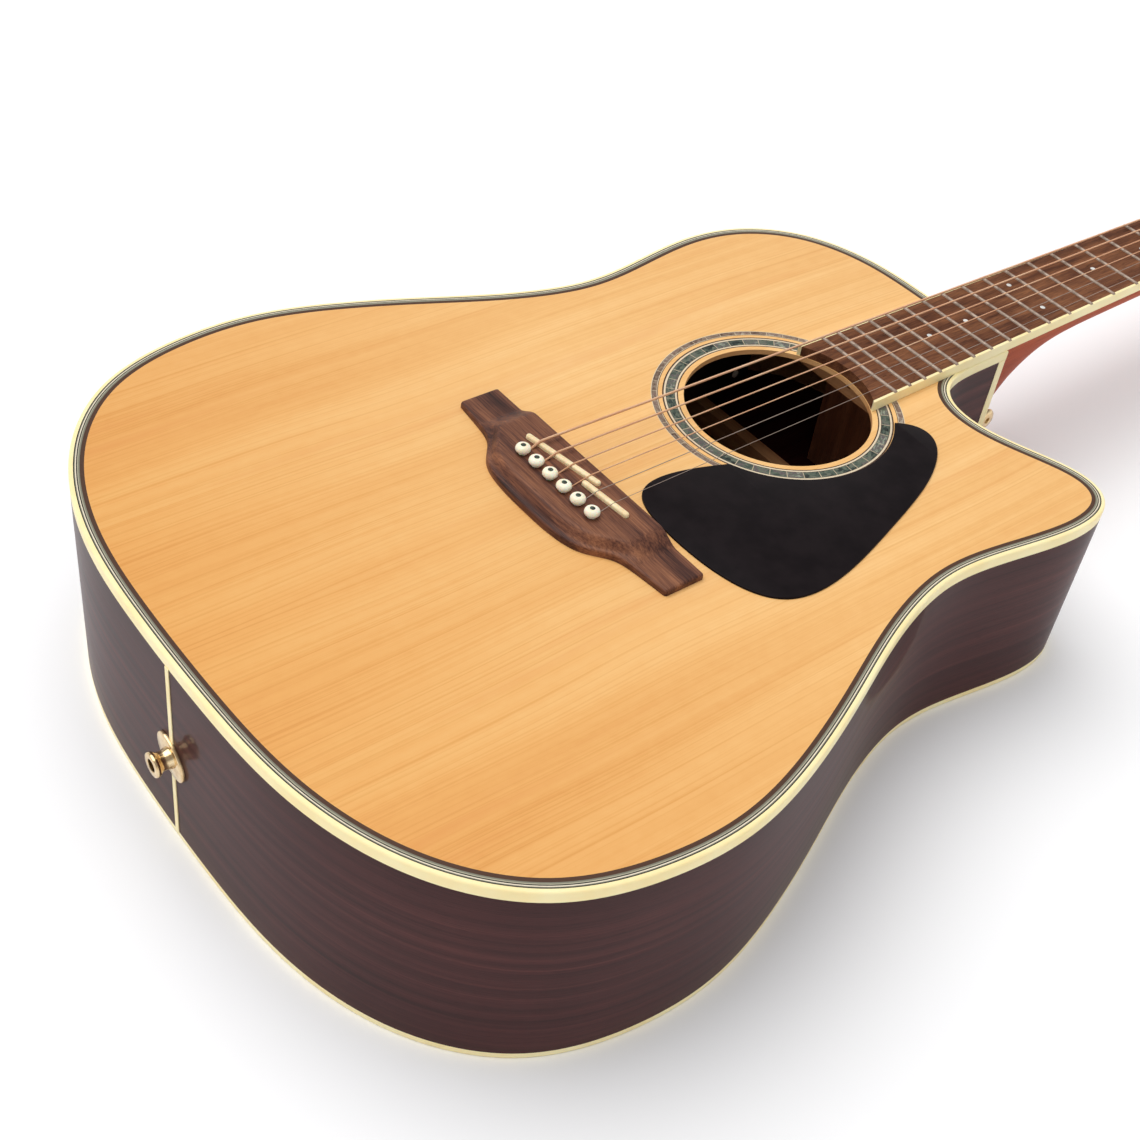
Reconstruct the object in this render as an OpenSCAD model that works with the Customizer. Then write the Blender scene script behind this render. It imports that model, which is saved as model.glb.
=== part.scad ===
// Cutaway dreadnought guitar with a pickup and preamp, lying on its back.
// Body frame: +Z up from the flat back, +Y towards the headstock, +X the cutaway side.
// The origin is on the back's outer face, on the centre line, below the end of the scale.
// Most parts are drawn in the soundboard's frame: Z = 0 is the soundboard's outer face
// and Y = 0 is the end of the scale. place() then sets them on the back.

/* [Scale and neck] */
// Speaking length of the strings, nut to the end of the scale
scale_length = 644; // [628:1:652]
// Fret at which the neck meets the body
join_fret = 14; // [14:1:14]
// Number of frets
fret_count = 21; // [18:1:21]
// Width of the fretboard at the nut
nut_width = 42.5; // [41:0.5:45]
// Width of the fretboard where the neck meets the body
join_width = 54.5; // [53:0.5:56]
// Thickness of the fretboard
board_t = 6; // [5:0.5:7]
// Height of the frets above the board
fret_h = 1.05; // [0.9:0.05:1.2]
// Thickness of the neck's wood at the nut
neck_t_nut = 14.5; // [14:0.5:16]
// Thickness of the neck's wood in front of the heel
neck_t_join = 15.8; // [15:0.2:18]
// Angle of the headstock behind the neck, in degrees
head_angle = 14; // [11:1:15]

/* [Body] */
// Depth of the body at the tail
depth_tail = 118; // [112:1:124]
// Depth of the body at the neck
depth_neck = 100; // [97:1:106]
// Thickness of the soundboard and of the back
plate_t = 3; // [2.6:0.1:3.4]
// Thickness of the bent sides and of the binding
side_t = 2.2; // [2:0.1:2.6]
// Height of the binding round the soundboard
top_binding_h = 6; // [5:0.5:7]
// Height of the binding round the back
back_binding_h = 4; // [3:0.5:6]
// Width of the purfling inside the top binding
purfling_w = 5; // [3:0.5:5.5]
// Radius of the soundhole
hole_r = 50; // [48:0.5:51]
// Distance from the end of the scale to the soundhole's centre
hole_y = 133; // [132:1:134]

/* [Bridge and strings] */
// Height of the middle of the bridge
bridge_h = 9; // [8.5:0.1:9.5]
// Height of the bridge's wings
wing_h = 3.5; // [3:0.5:4.5]
// Spacing of the strings at the bridge
string_gap = 10.8; // [10.4:0.1:11]
// Spacing of the strings at the nut
nut_gap = 7.1; // [6.8:0.1:7.3]
// Height of the saddles' tops above the soundboard
saddle_top = 11; // [10.6:0.1:11.6]

/* [Tuners] */
// Teeth on each tuner's gear, for one start of the worm
gear_teeth = 14; // [14:1:14]
// Lead of the worm
worm_lead = 2.4; // [2.4:0.1:2.4]

/* [Preamp] */
// Length of the control panel along the side
panel_l = 84; // [84:1:88]
// Height of the control panel
panel_h = 40; // [40:1:42]
// Depth of the preamp behind its panel
panel_d = 59; // [59:1:62]

/* [Hidden] */
$fn = 48;

// ---- The body's plan ----
// Control points of the edge, treble side from the neck to the waist
cutaway_pts = [[28, 287], [28, 264], [29, 237], [42, 220], [68, 217], [99, 229],
    [126, 239], [149, 230], [154, 197]];
// Waist to tail, the same on both sides
lower_pts = [[144, 149], [140, 111], [154, 65], [172, 26], [189, -15], [203, -61],
    [202, -107], [188, -159], [145, -198], [88, -217], [29, -220]];
// Bass side from the waist to the neck
shoulder_pts = [[-153, 196], [-147, 237], [-121, 271], [-78, 287], [-35, 287],
    [1, 287], [28, 287]];
tail_y = -220;
join_y = 287;
edge_steps = 5;

// Cubic B-spline that starts and ends on its first and last control points
function with_ends(c) = concat([2 * c[0] - c[1]], c, [2 * c[len(c) - 1] - c[len(c) - 2]]);
function blend4(a, b, c, d, t) = (a * pow(1 - t, 3) + b * (3 * pow(t, 3) - 6 * t * t + 4)
    + c * (-3 * pow(t, 3) + 3 * t * t + 3 * t + 1) + d * pow(t, 3)) / 6;
function spline(c, steps) = let (p = with_ends(c))
    concat([for (i = [0:len(p) - 4], s = [0:steps - 1])
        blend4(p[i], p[i + 1], p[i + 2], p[i + 3], s / steps)], [c[len(c) - 1]]);
function mirrored(c) = [for (i = [len(c) - 1:-1:0]) [-c[i][0], c[i][1]]];
function without_last(p) = [for (i = [0:len(p) - 2]) p[i]];
edge = without_last(spline(concat(cutaway_pts, lower_pts, mirrored(lower_pts),
    shoulder_pts), edge_steps));
function left_of(a, b) = let (d = (b - a) / norm(b - a)) [-d[1], d[0]];
// The edge moved outwards by d, inwards where d is negative. Its first point is the
// square corner beside the neck, and points too near it to survive the move are left out.
function edge_at(d) = let (n = len(edge)) [for (i = [0:n - 1])
    let (p = edge[i], u = left_of(edge[(i + n - 1) % n], p),
        v = left_of(p, edge[(i + 1) % n]))
        if (i == 0 || norm(p - edge[0]) > 1.3 * abs(d)) p + d * (u + v) / (1 + u * v)];

// ---- Derived sizes ----
taper = atan((depth_tail - depth_neck) / (join_y - tail_y));
back_z = -(depth_tail + tail_y * (depth_tail - depth_neck) / (join_y - tail_y));
// Gap between glued pieces of one node, so that each stays its own solid
glue_gap = 0.05;
lining_w = 6;
lining_h = 14;
inside_linings = -(side_t + lining_w + 0.2);
function fret_y(n) = scale_length * pow(2, -n / 12);
board_slope = (join_width - nut_width) / 2 / (scale_length - fret_y(join_fret));
function half_board(y) = nut_width / 2 + (scale_length - y) * board_slope;
board_end_r = hole_r + 0.4;
board_binding_w = 1.6;
nut_l = 5;
nut_top = 8.2;
slot_floor = 7.5;
head_y = scale_length + nut_l;
head_t = 14;
veneer_t = 1.5;
string_r = [0.675, 0.535, 0.405, 0.30, 0.205, 0.15];
string_n = [0, 1, 2, 3, 4, 5];
function bridge_x(i) = (i - 2.5) * string_gap;
function nut_x(i) = (i - 2.5) * nut_gap;
pin_y = -15.5;
pin_r = 2.45;
pin_hole_r = 2.5;
pin_gap = 0.15;
ball_r = 1.9;
plate_under = 2.5;
// Each saddle: bass end and treble end on the bridge
long_saddle = [[-36, -6.3], [12, 1.5]];
short_saddle = [[6, -4.3], [37, -1.5]];
saddle_w = 3.2;
saddle_bottom = 4.4;
strip_h = 1.2;
function on_line(s, x) = s[0][1] + (x - s[0][0]) * (s[1][1] - s[0][1]) / (s[1][0] - s[0][0]);
function saddle_y(i) = on_line(i < 4 ? long_saddle : short_saddle, bridge_x(i));
// Tuners, in the headstock's frame
tuner_y = [126, 84, 42, 42, 84, 126];
tuner_x = [-18, -20, -22, 22, 20, 18];
post_r = 3;
post_waist_r = 2.6;
winding_z = 6.6;
turns = 3;
axis_gap = 7.75;
gear_z = -20.5;
gear_t = 2;
shaft_r = 1.9;
housing_z = [-27, -14];
key_x = 46;
// Pocket for the neck's dovetail
dovetail_l = 18;
dovetail_h = 75;
// Truss rod, in the neck from the dovetail's inner face
rod_start = join_y - dovetail_l + 0.2;
rod_end = 631.5;
rod_nut_z = -5.8;
// Preamp
panel_y = 170;
panel_x = -146.2;
panel_turn = 3.6;
panel_z = -52;
panel_out = 5;
panel_wall = 2;
front_t = 2.5;
knob_u = [-34, -20, -6, 8];
knob_w = 7;
knob_shaft_r = 3;
drawer_u = 29;
drawer_size = [20, 31];
button_u = -34;
button_w = -11;
fit = 0.05;
loose = 0.3;
jack_z = -62;
jack_r = 5.2;
jack_out = 10.5;
socket_r = 3.25;
sleeve_l = 8;
socket_l = 30;
strap_pos = [10, 299, -58];

// ---- Frames ----
module place() rotate([-taper, 0, 0]) translate([0, 0, -back_z]) children();
module on_back() translate([0, 0, back_z]) rotate([taper, 0, 0]) children();
module on_head() translate([0, head_y, 0]) rotate([-head_angle, 0, 0]) children();
module at_tuner(i) on_head() translate([tuner_x[i], tuner_y[i], 0]) children();
module outward(i) mirror([tuner_x[i] < 0 ? 1 : 0, 0, 0]) children();
module on_panel() translate([panel_x, panel_y, panel_z]) rotate([0, 0, panel_turn])
    rotate([0, -90, 0]) rotate([0, 0, 90]) children();

// ---- Shared shapes ----
module plan(d) polygon(edge_at(d));
module band(d_out, d_in) difference() {
    plan(d_out);
    plan(d_in);
}
module slab(z0, z1) translate([0, 0, z0]) linear_extrude(height = z1 - z0) children();
// The space between two heights above the back's outer face
module back_layer(z0, z1) on_back() translate([-300, -400, z0]) cube([600, 800, z1 - z0]);
// Closed skin through rings that all have the same number of points
module skin(rings) {
    n = len(rings[0]);
    m = len(rings);
    polyhedron(points = [for (r = rings, p = r) p], faces = concat(
        [[for (k = [n - 1:-1:0]) k]],
        [for (j = [0:m - 2], k = [0:n - 1]) each [
            [j * n + k, j * n + (k + 1) % n, (j + 1) * n + (k + 1) % n],
            [j * n + k, (j + 1) * n + (k + 1) % n, (j + 1) * n + k]]],
        [[for (k = [0:n - 1]) (m - 1) * n + k]]));
}
function unit(v) = v / norm(v);
// Ring of a tube at point p, square to direction d
function tube_ring(p, d, r, sides) = let (u = unit(cross(d, [1, 0, 0])), v = cross(u, d))
    [for (k = [0:sides - 1]) p + r * (cos(360 * k / sides) * u + sin(360 * k / sides) * v)];
function path_dir(p, i) = unit(p[min(i + 1, len(p) - 1)] - p[max(i - 1, 0)]);
module tube(path, r, sides) skin([for (i = [0:len(path) - 1])
    tube_ring(path[i], path_dir(path, i), r, sides)]);

// ---- Body ----
module dovetail(grow) translate([0, 0, -dovetail_h - grow])
    linear_extrude(height = dovetail_h + 2 * grow + 1) polygon([[-9, join_y + 1],
        [9, join_y + 1], [12, join_y - dovetail_l], [-12, join_y - dovetail_l]]);
module neck_block_space() translate([-40, 222, -200]) cube([66, 80, 200]);
module tail_block_space() translate([-35, tail_y, -200]) cube([70, 24, 200]);
module jack_hole(r) translate([0, tail_y - 20, jack_z]) rotate([-90, 0, 0])
    cylinder(r = r, h = 60);
module graft_space() translate([-1.5, tail_y - 2, -200]) cube([3, 10, 200]);
module heel_strip_space() translate([20, join_y - 6, -200]) cube([12, 8, 200]);
module pin_holes(z0, z1) for (i = string_n) translate([bridge_x(i), pin_y, z0]) {
    cylinder(r = pin_hole_r, h = z1 - z0);
    translate([-string_r[i] - 0.1, 0, 0])
        cube([2 * string_r[i] + 0.2, pin_hole_r + 2 * string_r[i] + 2 * pin_gap, z1 - z0]);
}

module soundboard() color("burlywood") place() difference() {
    slab(-plate_t, 0) plan(-side_t);
    translate([0, hole_y, -plate_t - 1]) cylinder(r = hole_r, h = plate_t + 2, $fn = 96);
    purfling_shape(1);
    rosette_shape(1);
    pin_holes(-plate_t - 1, 1);
    dovetail(0);
}
module back() color("saddlebrown") place() intersection() {
    slab(-200, -50) plan(-side_t);
    back_layer(0, plate_t);
}
module side_wall() difference() {
    intersection() {
        slab(-200, -top_binding_h) band(0, -side_t);
        back_layer(back_binding_h, 200);
    }
    jack_hole(jack_r + fit);
}
module sides() color("#3b2420") place() difference() {
    side_wall();
    graft_space();
    heel_strip_space();
    dovetail(0);
    on_panel() panel_block(0, 30);
}
module linings() color("peru") place() difference() {
    union() {
        slab(-plate_t - lining_h, -plate_t) band(-side_t, -side_t - lining_w);
        intersection() {
            slab(-200, -50) band(-side_t, -side_t - lining_w);
            back_layer(plate_t, plate_t + lining_h);
        }
    }
    neck_block_space();
    tail_block_space();
}
module end_blocks() color("sienna") place() difference() {
    intersection() {
        slab(-200, -plate_t) plan(-side_t);
        back_layer(plate_t, 200);
        union() {
            neck_block_space();
            tail_block_space();
        }
    }
    dovetail(0);
    jack_hole(jack_r + fit);
    rod_access();
}
// The way from the soundhole to the truss rod's nut, through the upper brace and the block
module rod_access() translate([0, 180, rod_nut_z]) rotate([-90, 0, 0])
    cylinder(r = 2.9, h = rod_start - 180 + 0.5);
module brace(at, turn, l, w, h) translate([at[0], at[1], -plate_t - h]) rotate([0, 0, turn])
    translate([-w / 2, -l / 2, 0]) cube([w, l, h]);
module x_leg(turn, w = 7) brace([0, 55], turn, 700, w, 14);
module upper_brace(w = 14, h = 11) brace([0, 195], 90, 400, w, h);
module soundboard_braces() color("wheat") place() intersection() {
    slab(-40, -plate_t) plan(inside_linings);
    union() {
        difference() {
            x_leg(46);
            upper_brace(14 + 2 * glue_gap, 20);
        }
        difference() {
            x_leg(-46);
            x_leg(46, 7 + 2 * glue_gap);
            upper_brace(14 + 2 * glue_gap, 20);
        }
        brace([0, -75], -70, 120, 6, 10);
        brace([0, -125], -70, 160, 6, 10);
        difference() {
            upper_brace();
            rod_access();
        }
    }
}
module bridge_plate() color("tan") place() difference() {
    translate([-44, -28, -plate_t - plate_under]) cube([88, 34, plate_under]);
    pin_holes(-plate_t - plate_under - 1, 1);
}
module back_bars(w = 8) for (y = [190, 80, -40, -140]) on_back()
    translate([-250, y - w / 2, plate_t]) cube([500, w, 15]);
module back_braces() color("wheat") place() intersection() {
    slab(-200, -50) plan(inside_linings);
    union() {
        back_bars();
        difference() {
            on_back() translate([-8, -190, plate_t]) cube([16, 405, 2.5]);
            back_bars(8 + 2 * glue_gap);
        }
    }
}
module body_binding() color("ivory") place() difference() {
    union() {
        slab(-top_binding_h, 0) band(0, -side_t);
        intersection() {
            slab(-200, -50) band(0, -side_t);
            back_layer(0, back_binding_h);
        }
        intersection() {
            side_wall();
            slab(-200, -top_binding_h - glue_gap) square(900, center = true);
            back_layer(back_binding_h + glue_gap, 200);
            union() {
                graft_space();
                heel_strip_space();
            }
        }
    }
    dovetail(0);
}
purfling_depth = 1.5;
module purfling_shape(up) slab(-purfling_depth, up) band(-side_t, -side_t - purfling_w);
module purfling() color("darkslategray") place() difference() {
    purfling_shape(0);
    dovetail(0);
}
rosette_depth = 1;
rosette_rings = [[53, 61.4], [63.6, 67.4]];
guard_inner_r = 61.7;
module rosette_shape(up) for (r = rosette_rings)
    translate([0, hole_y, -rosette_depth]) difference() {
        cylinder(r = r[1], h = rosette_depth + up, $fn = 96);
        translate([0, 0, -1]) cylinder(r = r[0], h = rosette_depth + up + 2, $fn = 96);
    }
module rosette() color("cadetblue") place() rosette_shape(0);
pickguard_t = 1.2;
guard_pts = [[30, 90], [14, 52], [13, 19], [48, 14], [88, 16], [116, 30], [117, 66],
    [101, 116], [87, 160], [66, 190], [44, 186], [32, 150]];
module pickguard() color("#17120f") place() difference() {
    slab(0, pickguard_t) polygon(without_last(spline(concat(guard_pts, [guard_pts[0]]), 4)));
    translate([0, hole_y, -1]) cylinder(r = guard_inner_r, h = 5, $fn = 96);
}

// ---- Bridge ----
bridge_half = 81;
bridge_front = 9.5;
belly_pts = [[81, -14], [62, -16], [50, -18], [43, -25], [34, -32], [16, -34.5], [0, -34.5]];
function wing_rise(x) = wing_h + (bridge_h - wing_h)
    * (1 - cos(180 * min(1, max(0, (62 - abs(x)) / 14)))) / 2;
module bridge_blank() intersection() {
    slab(0, bridge_h) polygon(concat([[-bridge_half, bridge_front],
        [bridge_half, bridge_front]], spline(belly_pts, 3), mirrored(spline(belly_pts, 3))));
    translate([0, 30, 0]) rotate([90, 0, 0]) linear_extrude(height = 80) polygon(concat(
        [[bridge_half + 1, -1], [-bridge_half - 1, -1], [-bridge_half - 1, wing_h]],
        [for (x = [-62:2:-48]) [x, wing_rise(x)]], [for (x = [48:2:62]) [x, wing_rise(x)]],
        [[bridge_half + 1, wing_h]]));
}
module saddle_block(s, z0, z1, grow) let (d = s[1] - s[0])
    translate([s[0][0], s[0][1], z0]) rotate([0, 0, atan2(d[1], d[0])])
        translate([-grow, -saddle_w / 2 - grow, 0])
            cube([norm(d) + 2 * grow, saddle_w + 2 * grow, z1 - z0]);
// Where each string leaves its pin hole for the saddle
module string_ramps() for (i = string_n) let (p = string_path(i), d = p[2] - p[1],
    r = string_r[i] + 0.15) translate(p[1]) rotate([atan2(d[2], d[1]), 0, 0])
        translate([-r, 0, -r]) cube([2 * r, 6, 5]);
module bridge() color("#4a2c1e") place() difference() {
    bridge_blank();
    pin_holes(-1, 20);
    string_ramps();
    for (s = [long_saddle, short_saddle]) saddle_block(s, saddle_bottom - strip_h, 20, 0);
}
module saddles() color("ivory") place() for (s = [long_saddle, short_saddle])
    saddle_block(s, saddle_bottom, saddle_top, 0);
module pickup() color("goldenrod") place() for (s = [long_saddle, short_saddle])
    saddle_block(s, saddle_bottom - strip_h, saddle_bottom, 0);
pin_profile = [[0, -11], [1.9, -11], [pin_r, -9.5], [pin_r, 10.4], [3.6, 10.4], [3.9, 11.2],
    [3.8, 12.2], [3.1, 13.1], [1.7, 13.6], [0, 13.7]];
module bridge_pin(i) color("ivory") place() translate([bridge_x(i), pin_y, 0])
    rotate_extrude($fn = 32) polygon(pin_profile);

// ---- Neck ----
function heel_depth(y) = 78 * exp(-pow(max(0, y - join_y) / 23, 1.35));
function neck_depth(y) = neck_t_nut + (neck_t_join - neck_t_nut) * (head_y - y)
    / (head_y - join_y) + heel_depth(y);
function neck_ring(y) = let (w = half_board(y), d = neck_depth(y),
    p = 0.8 + 0.6 * min(1, heel_depth(y) / 40))
    [for (k = [0:24]) let (a = 180 - 180 * k / 24, c = cos(a))
        [w * (c < 0 ? -1 : 1) * pow(abs(c), p), y, -d * pow(sin(a), 0.92)]];
neck_ys = concat([for (k = [0:11]) join_y + 3 * k], [for (k = [1:6]) 320 + 9 * k],
    [for (k = [1:5]) 374 + (head_y - 374) * k / 5]);
head_pts = [[21.5, 0], [23, 9], [35, 24], [38, 44], [37, 84], [36, 130], [34, 168],
    [28, 186], [12, 184], [0, 190]];
function head_plan() = concat(spline(head_pts, 4), mirrored(without_last(spline(head_pts, 4))));
module tuner_holes(r) for (i = string_n) translate([tuner_x[i], tuner_y[i], -head_t - 1])
    cylinder(r = r, h = head_t + veneer_t + 2, $fn = 40);
module head_plate(z0, z1) difference() {
    slab(z0, z1) polygon(head_plan());
    tuner_holes(5);
}
module neck() color("#8a4630") place() difference() {
    union() {
        skin([for (y = neck_ys) neck_ring(y)]);
        on_head() head_plate(-head_t, 0);
        intersection() {
            dovetail(0);
            slab(-200, 0) translate([-20, 200]) square([40, join_y - 200]);
        }
    }
    rod_channel();
    translate(strap_pos) rotate([0, 90, 0]) {
        cylinder(r = 6.2, h = 20);
        translate([0, 0, -16]) cylinder(r = 1.8, h = 20);
    }
}
module rod_channel() translate([-3.2, join_y - dovetail_l - 1, -9.7])
    cube([6.4, rod_end + 1.5 - join_y + dovetail_l, 10]);
module truss_rod() color("dimgray") place() {
    translate([-3, rod_start, -9.5]) cube([6, rod_end - rod_start, 9.3]);
    translate([0, rod_start - 12, rod_nut_z]) rotate([-90, 0, 0])
        cylinder(r = 2.4, h = 12.1, $fn = 6);
}
module board_plan(inset) polygon([[-half_board(170) + inset, 170],
    [half_board(170) - inset, 170], [nut_width / 2 - inset, scale_length],
    [-nut_width / 2 + inset, scale_length]]);
module board_end(up) translate([0, hole_y, -1]) cylinder(r = board_end_r, h = up, $fn = 96);
module fret_tangs() for (n = [1:fret_count]) let (w = half_board(fret_y(n)) - board_binding_w)
    translate([-w, fret_y(n) - 0.3, board_t - 2]) cube([2 * w, 0.6, 2.2]);
dot_r = 1.5;
dot_depth = 1;
dot_places = concat([for (n = [3, 5, 7, 9, 15, 17]) [0, (fret_y(n) + fret_y(n - 1)) / 2]],
    [for (x = [-13, 13]) [x, (fret_y(12) + fret_y(11)) / 2]]);
module fretboard() color("#5b3526") place() difference() {
    slab(0, board_t) board_plan(board_binding_w);
    board_end(20);
    fret_tangs();
    for (p = dot_places) translate([p[0], p[1], board_t - dot_depth])
        cylinder(r = dot_r, h = 5, $fn = 24);
}
module fretboard_binding() color("ivory") place() difference() {
    slab(0, board_t) board_plan(0);
    slab(-1, board_t + 1) board_plan(board_binding_w);
    board_end(20);
}
module position_dots() color("white") place() for (p = dot_places)
    translate([p[0], p[1], board_t - dot_depth]) cylinder(r = dot_r, h = dot_depth, $fn = 24);
crown = [[-1.1, 0], [1.1, 0], [0.95, 0.55], [0.5, 0.93], [0, 1], [-0.5, 0.93], [-0.95, 0.55]];
module frets() color("silver") place() for (n = [1:fret_count])
    let (w = half_board(fret_y(n)) - board_binding_w) translate([0, fret_y(n), board_t]) {
        translate([-w, 0, 0]) rotate([90, 0, 90])
            linear_extrude(height = 2 * w) polygon([for (p = crown) [p[0], p[1] * fret_h]]);
        translate([-w, -0.3, -2]) cube([2 * w, 0.6, 2]);
    }
module nut() color("ivory") place() difference() {
    translate([-nut_width / 2, scale_length, 0]) cube([nut_width, nut_l, nut_top]);
    for (i = string_n) translate([nut_x(i) - string_r[i] - 0.1, scale_length - 1, slot_floor])
        cube([2 * string_r[i] + 0.2, nut_l + 2, 5]);
}
module headstock_veneer() color("#2a1712") place() on_head() head_plate(0, veneer_t);

// ---- Strings ----
// From the ball under the bridge plate, over the saddle and the nut, to the post
function winding_r(i) = post_waist_r + 0.05 + string_r[i];
function string_end(i) = let (s = tuner_x[i] < 0 ? 1 : -1,
    x = tuner_x[i] + s * (winding_r(i) + 2 * string_r[i] + 0.35), y = tuner_y[i],
    z = winding_z + 2 * string_r[i] * turns)
    [x, head_y + y * cos(head_angle) + z * sin(head_angle),
        -y * sin(head_angle) + z * cos(head_angle)];
function string_path(i) = let (r = string_r[i], x = bridge_x(i),
    y = pin_y + pin_hole_r + r + pin_gap) [[x, y, -plate_t - plate_under + 0.1],
        [x, y, bridge_h - 0.6],
        [x, saddle_y(i), saddle_top + r + 0.03],
        [nut_x(i), scale_length + 1, slot_floor + r + 0.05],
        [nut_x(i), head_y, slot_floor + r + 0.02], string_end(i)];
module strings() color("#b87345") place() for (i = string_n) {
    tube(string_path(i), string_r[i], 8);
    translate([bridge_x(i) - 1.9, pin_y + pin_hole_r + ball_r + 0.2,
        -plate_t - plate_under - ball_r - 0.1]) rotate([0, 90, 0])
            cylinder(r = ball_r, h = 3.8, $fn = 24);
}
module string_winding(i) color("#b87345") place() at_tuner(i) for (k = [0:turns - 1])
    translate([0, 0, winding_z + k * (2 * string_r[i] + 0.02)]) rotate_extrude($fn = 32)
        translate([winding_r(i), 0]) circle(r = string_r[i] - 0.01, $fn = 16);

// ---- Tuners ----
post_profile = [[0, -17], [post_r, -17], [post_r, 5.4], [post_waist_r, 5.8],
    [post_waist_r, 11.2], [post_r, 11.8], [post_r, 14.6], [2.4, 15.4], [0, 15.4]];
function gear_points() = [for (k = [0:gear_teeth - 1])
    let (a = -90 + (k + 0.5) * 360 / gear_teeth) each [
        4.75 * [cos(a - 8), sin(a - 8)], 5.5 * [cos(a - 4), sin(a - 4)],
        5.5 * [cos(a + 4), sin(a + 4)], 4.75 * [cos(a + 8), sin(a + 8)]]];
module tuner_post(i) color("gold") place() at_tuner(i) {
    difference() {
        union() {
            rotate_extrude($fn = 32) polygon(post_profile);
            translate([-2, -2, -23]) cube([4, 4, 6.5]);
        }
        translate([-5, 0, 10.6]) rotate([0, 90, 0]) cylinder(r = 0.8, h = 10, $fn = 16);
    }
    outward(i) translate([0, 0, gear_z - gear_t / 2]) difference() {
        linear_extrude(height = gear_t) polygon(gear_points());
        translate([-2.02, -2.02, -1]) cube([4.04, 4.04, 9]);
    }
}
// One turn of the thread has this many steps
thread_steps = 12;
thread_turns = 3.5;
module worm_thread() skin([for (k = [-thread_turns / 2 * thread_steps:1:
    thread_turns / 2 * thread_steps]) let (a = 360 * k / thread_steps,
        x = worm_lead * k / thread_steps, c = cos(a), s = sin(a))
        [[x - 0.5, 1.6 * c, 1.6 * s], [x - 0.25, 2.7 * c, 2.7 * s],
            [x + 0.25, 2.7 * c, 2.7 * s], [x + 0.5, 1.6 * c, 1.6 * s]]]);
button_pts = [[0, 0], [2, 3.4], [8, 8.4], [16, 7.6], [19.5, 0], [16, -7.6], [8, -8.4], [2, -3.4]];
module tuner_key(i) color("gold") place() at_tuner(i) outward(i)
    translate([0, -axis_gap, gear_z]) {
        rotate([0, 90, 0]) translate([0, 0, -9.5])
            cylinder(r = shaft_r, h = key_x - abs(tuner_x[i]) + 10.5, $fn = 12);
        worm_thread();
        translate([key_x - abs(tuner_x[i]), 0, -3]) linear_extrude(height = 6)
            polygon(without_last(spline(concat(button_pts, [button_pts[0]]), 3)));
    }
module tuner_housings() color("gold") place() for (i = string_n) at_tuner(i) outward(i)
    difference() {
        translate([-11, -13, housing_z[0]]) cube([22, 21, housing_z[1] - housing_z[0]]);
        translate([0, 0, -24.5]) cylinder(r = 6.3, h = 8.5);
        translate([0, 0, -20]) cylinder(r = post_r + 0.3, h = 10);
        translate([-6, -axis_gap, gear_z]) rotate([0, 90, 0]) cylinder(r = 3.1, h = 12);
        translate([-9.7, -axis_gap, gear_z]) rotate([0, 90, 0])
            cylinder(r = shaft_r + 0.1, h = 25);
    }
module tuner_bushings() color("gold") place() for (i = string_n) at_tuner(i) difference() {
    union() {
        translate([0, 0, -head_t]) cylinder(r = 4.95, h = head_t + veneer_t);
        translate([0, 0, veneer_t]) cylinder(r = 7, h = 1);
        translate([0, 0, veneer_t]) cylinder(r = 5.6, h = 2.6, $fn = 6);
    }
    translate([0, 0, -20]) cylinder(r = post_r + fit, h = 40);
}

// ---- Fittings ----
strap_profile = [[0, 0], [5.4, 0], [5.4, 1.2], [3.4, 2.6], [3.2, 6.5], [4.4, 8.6], [6.9, 9.6],
    [6.9, 11], [5.6, 12.4], [2, 12.9], [2, 11.5], [0, 11.5]];
module strap_button() color("gold") place() translate(strap_pos) rotate([0, 90, 0]) {
    rotate_extrude() polygon(strap_profile);
    translate([0, 0, -15]) cylinder(r = 1.75, h = 15.2);
}
// The jack's barrel, along +Z from its outer end
jack_profile = [[0, socket_l], [3.9, socket_l], [3.9, sleeve_l], [socket_r, sleeve_l],
    [socket_r, 0], [5.6, 0], [6.2, 0.6], [6.2, 1.8], [5.6, 2.6], [4.6, 3.4], [4.6, 6.6],
    [jack_r, 8], [jack_r, 42], [0, 42]];
jack_plate = [12.6, 8.8];
plate_turn = 38;
plate_screw = 9.2;
module at_jack() translate([0, tail_y, jack_z]) rotate([-90, 0, 0]) children();
module end_jack() color("gold") place() at_jack() {
    translate([0, 0, -jack_out]) rotate_extrude() polygon(jack_profile);
    rotate([0, 0, plate_turn]) difference() {
        translate([0, 0, -1.6]) linear_extrude(height = 1.6)
            polygon([for (a = [0:12:348]) [jack_plate[0] * cos(a), jack_plate[1] * sin(a)]]);
        translate([0, 0, -5]) cylinder(r = jack_r + fit, h = 8);
        for (s = [-1, 1]) translate([s * plate_screw, 0, -5]) cylinder(r = 1.3, h = 8);
    }
    rotate([0, 0, plate_turn]) for (s = [-1, 1]) translate([s * plate_screw, 0, -2.3])
        cylinder(r1 = 1.2, r2 = 1.9, h = 0.7, $fn = 24);
    translate([0, 0, 24.5]) difference() {
        cylinder(r = 8, h = 3, $fn = 6);
        translate([0, 0, -1]) cylinder(r = jack_r + fit, h = 6);
    }
}

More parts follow.
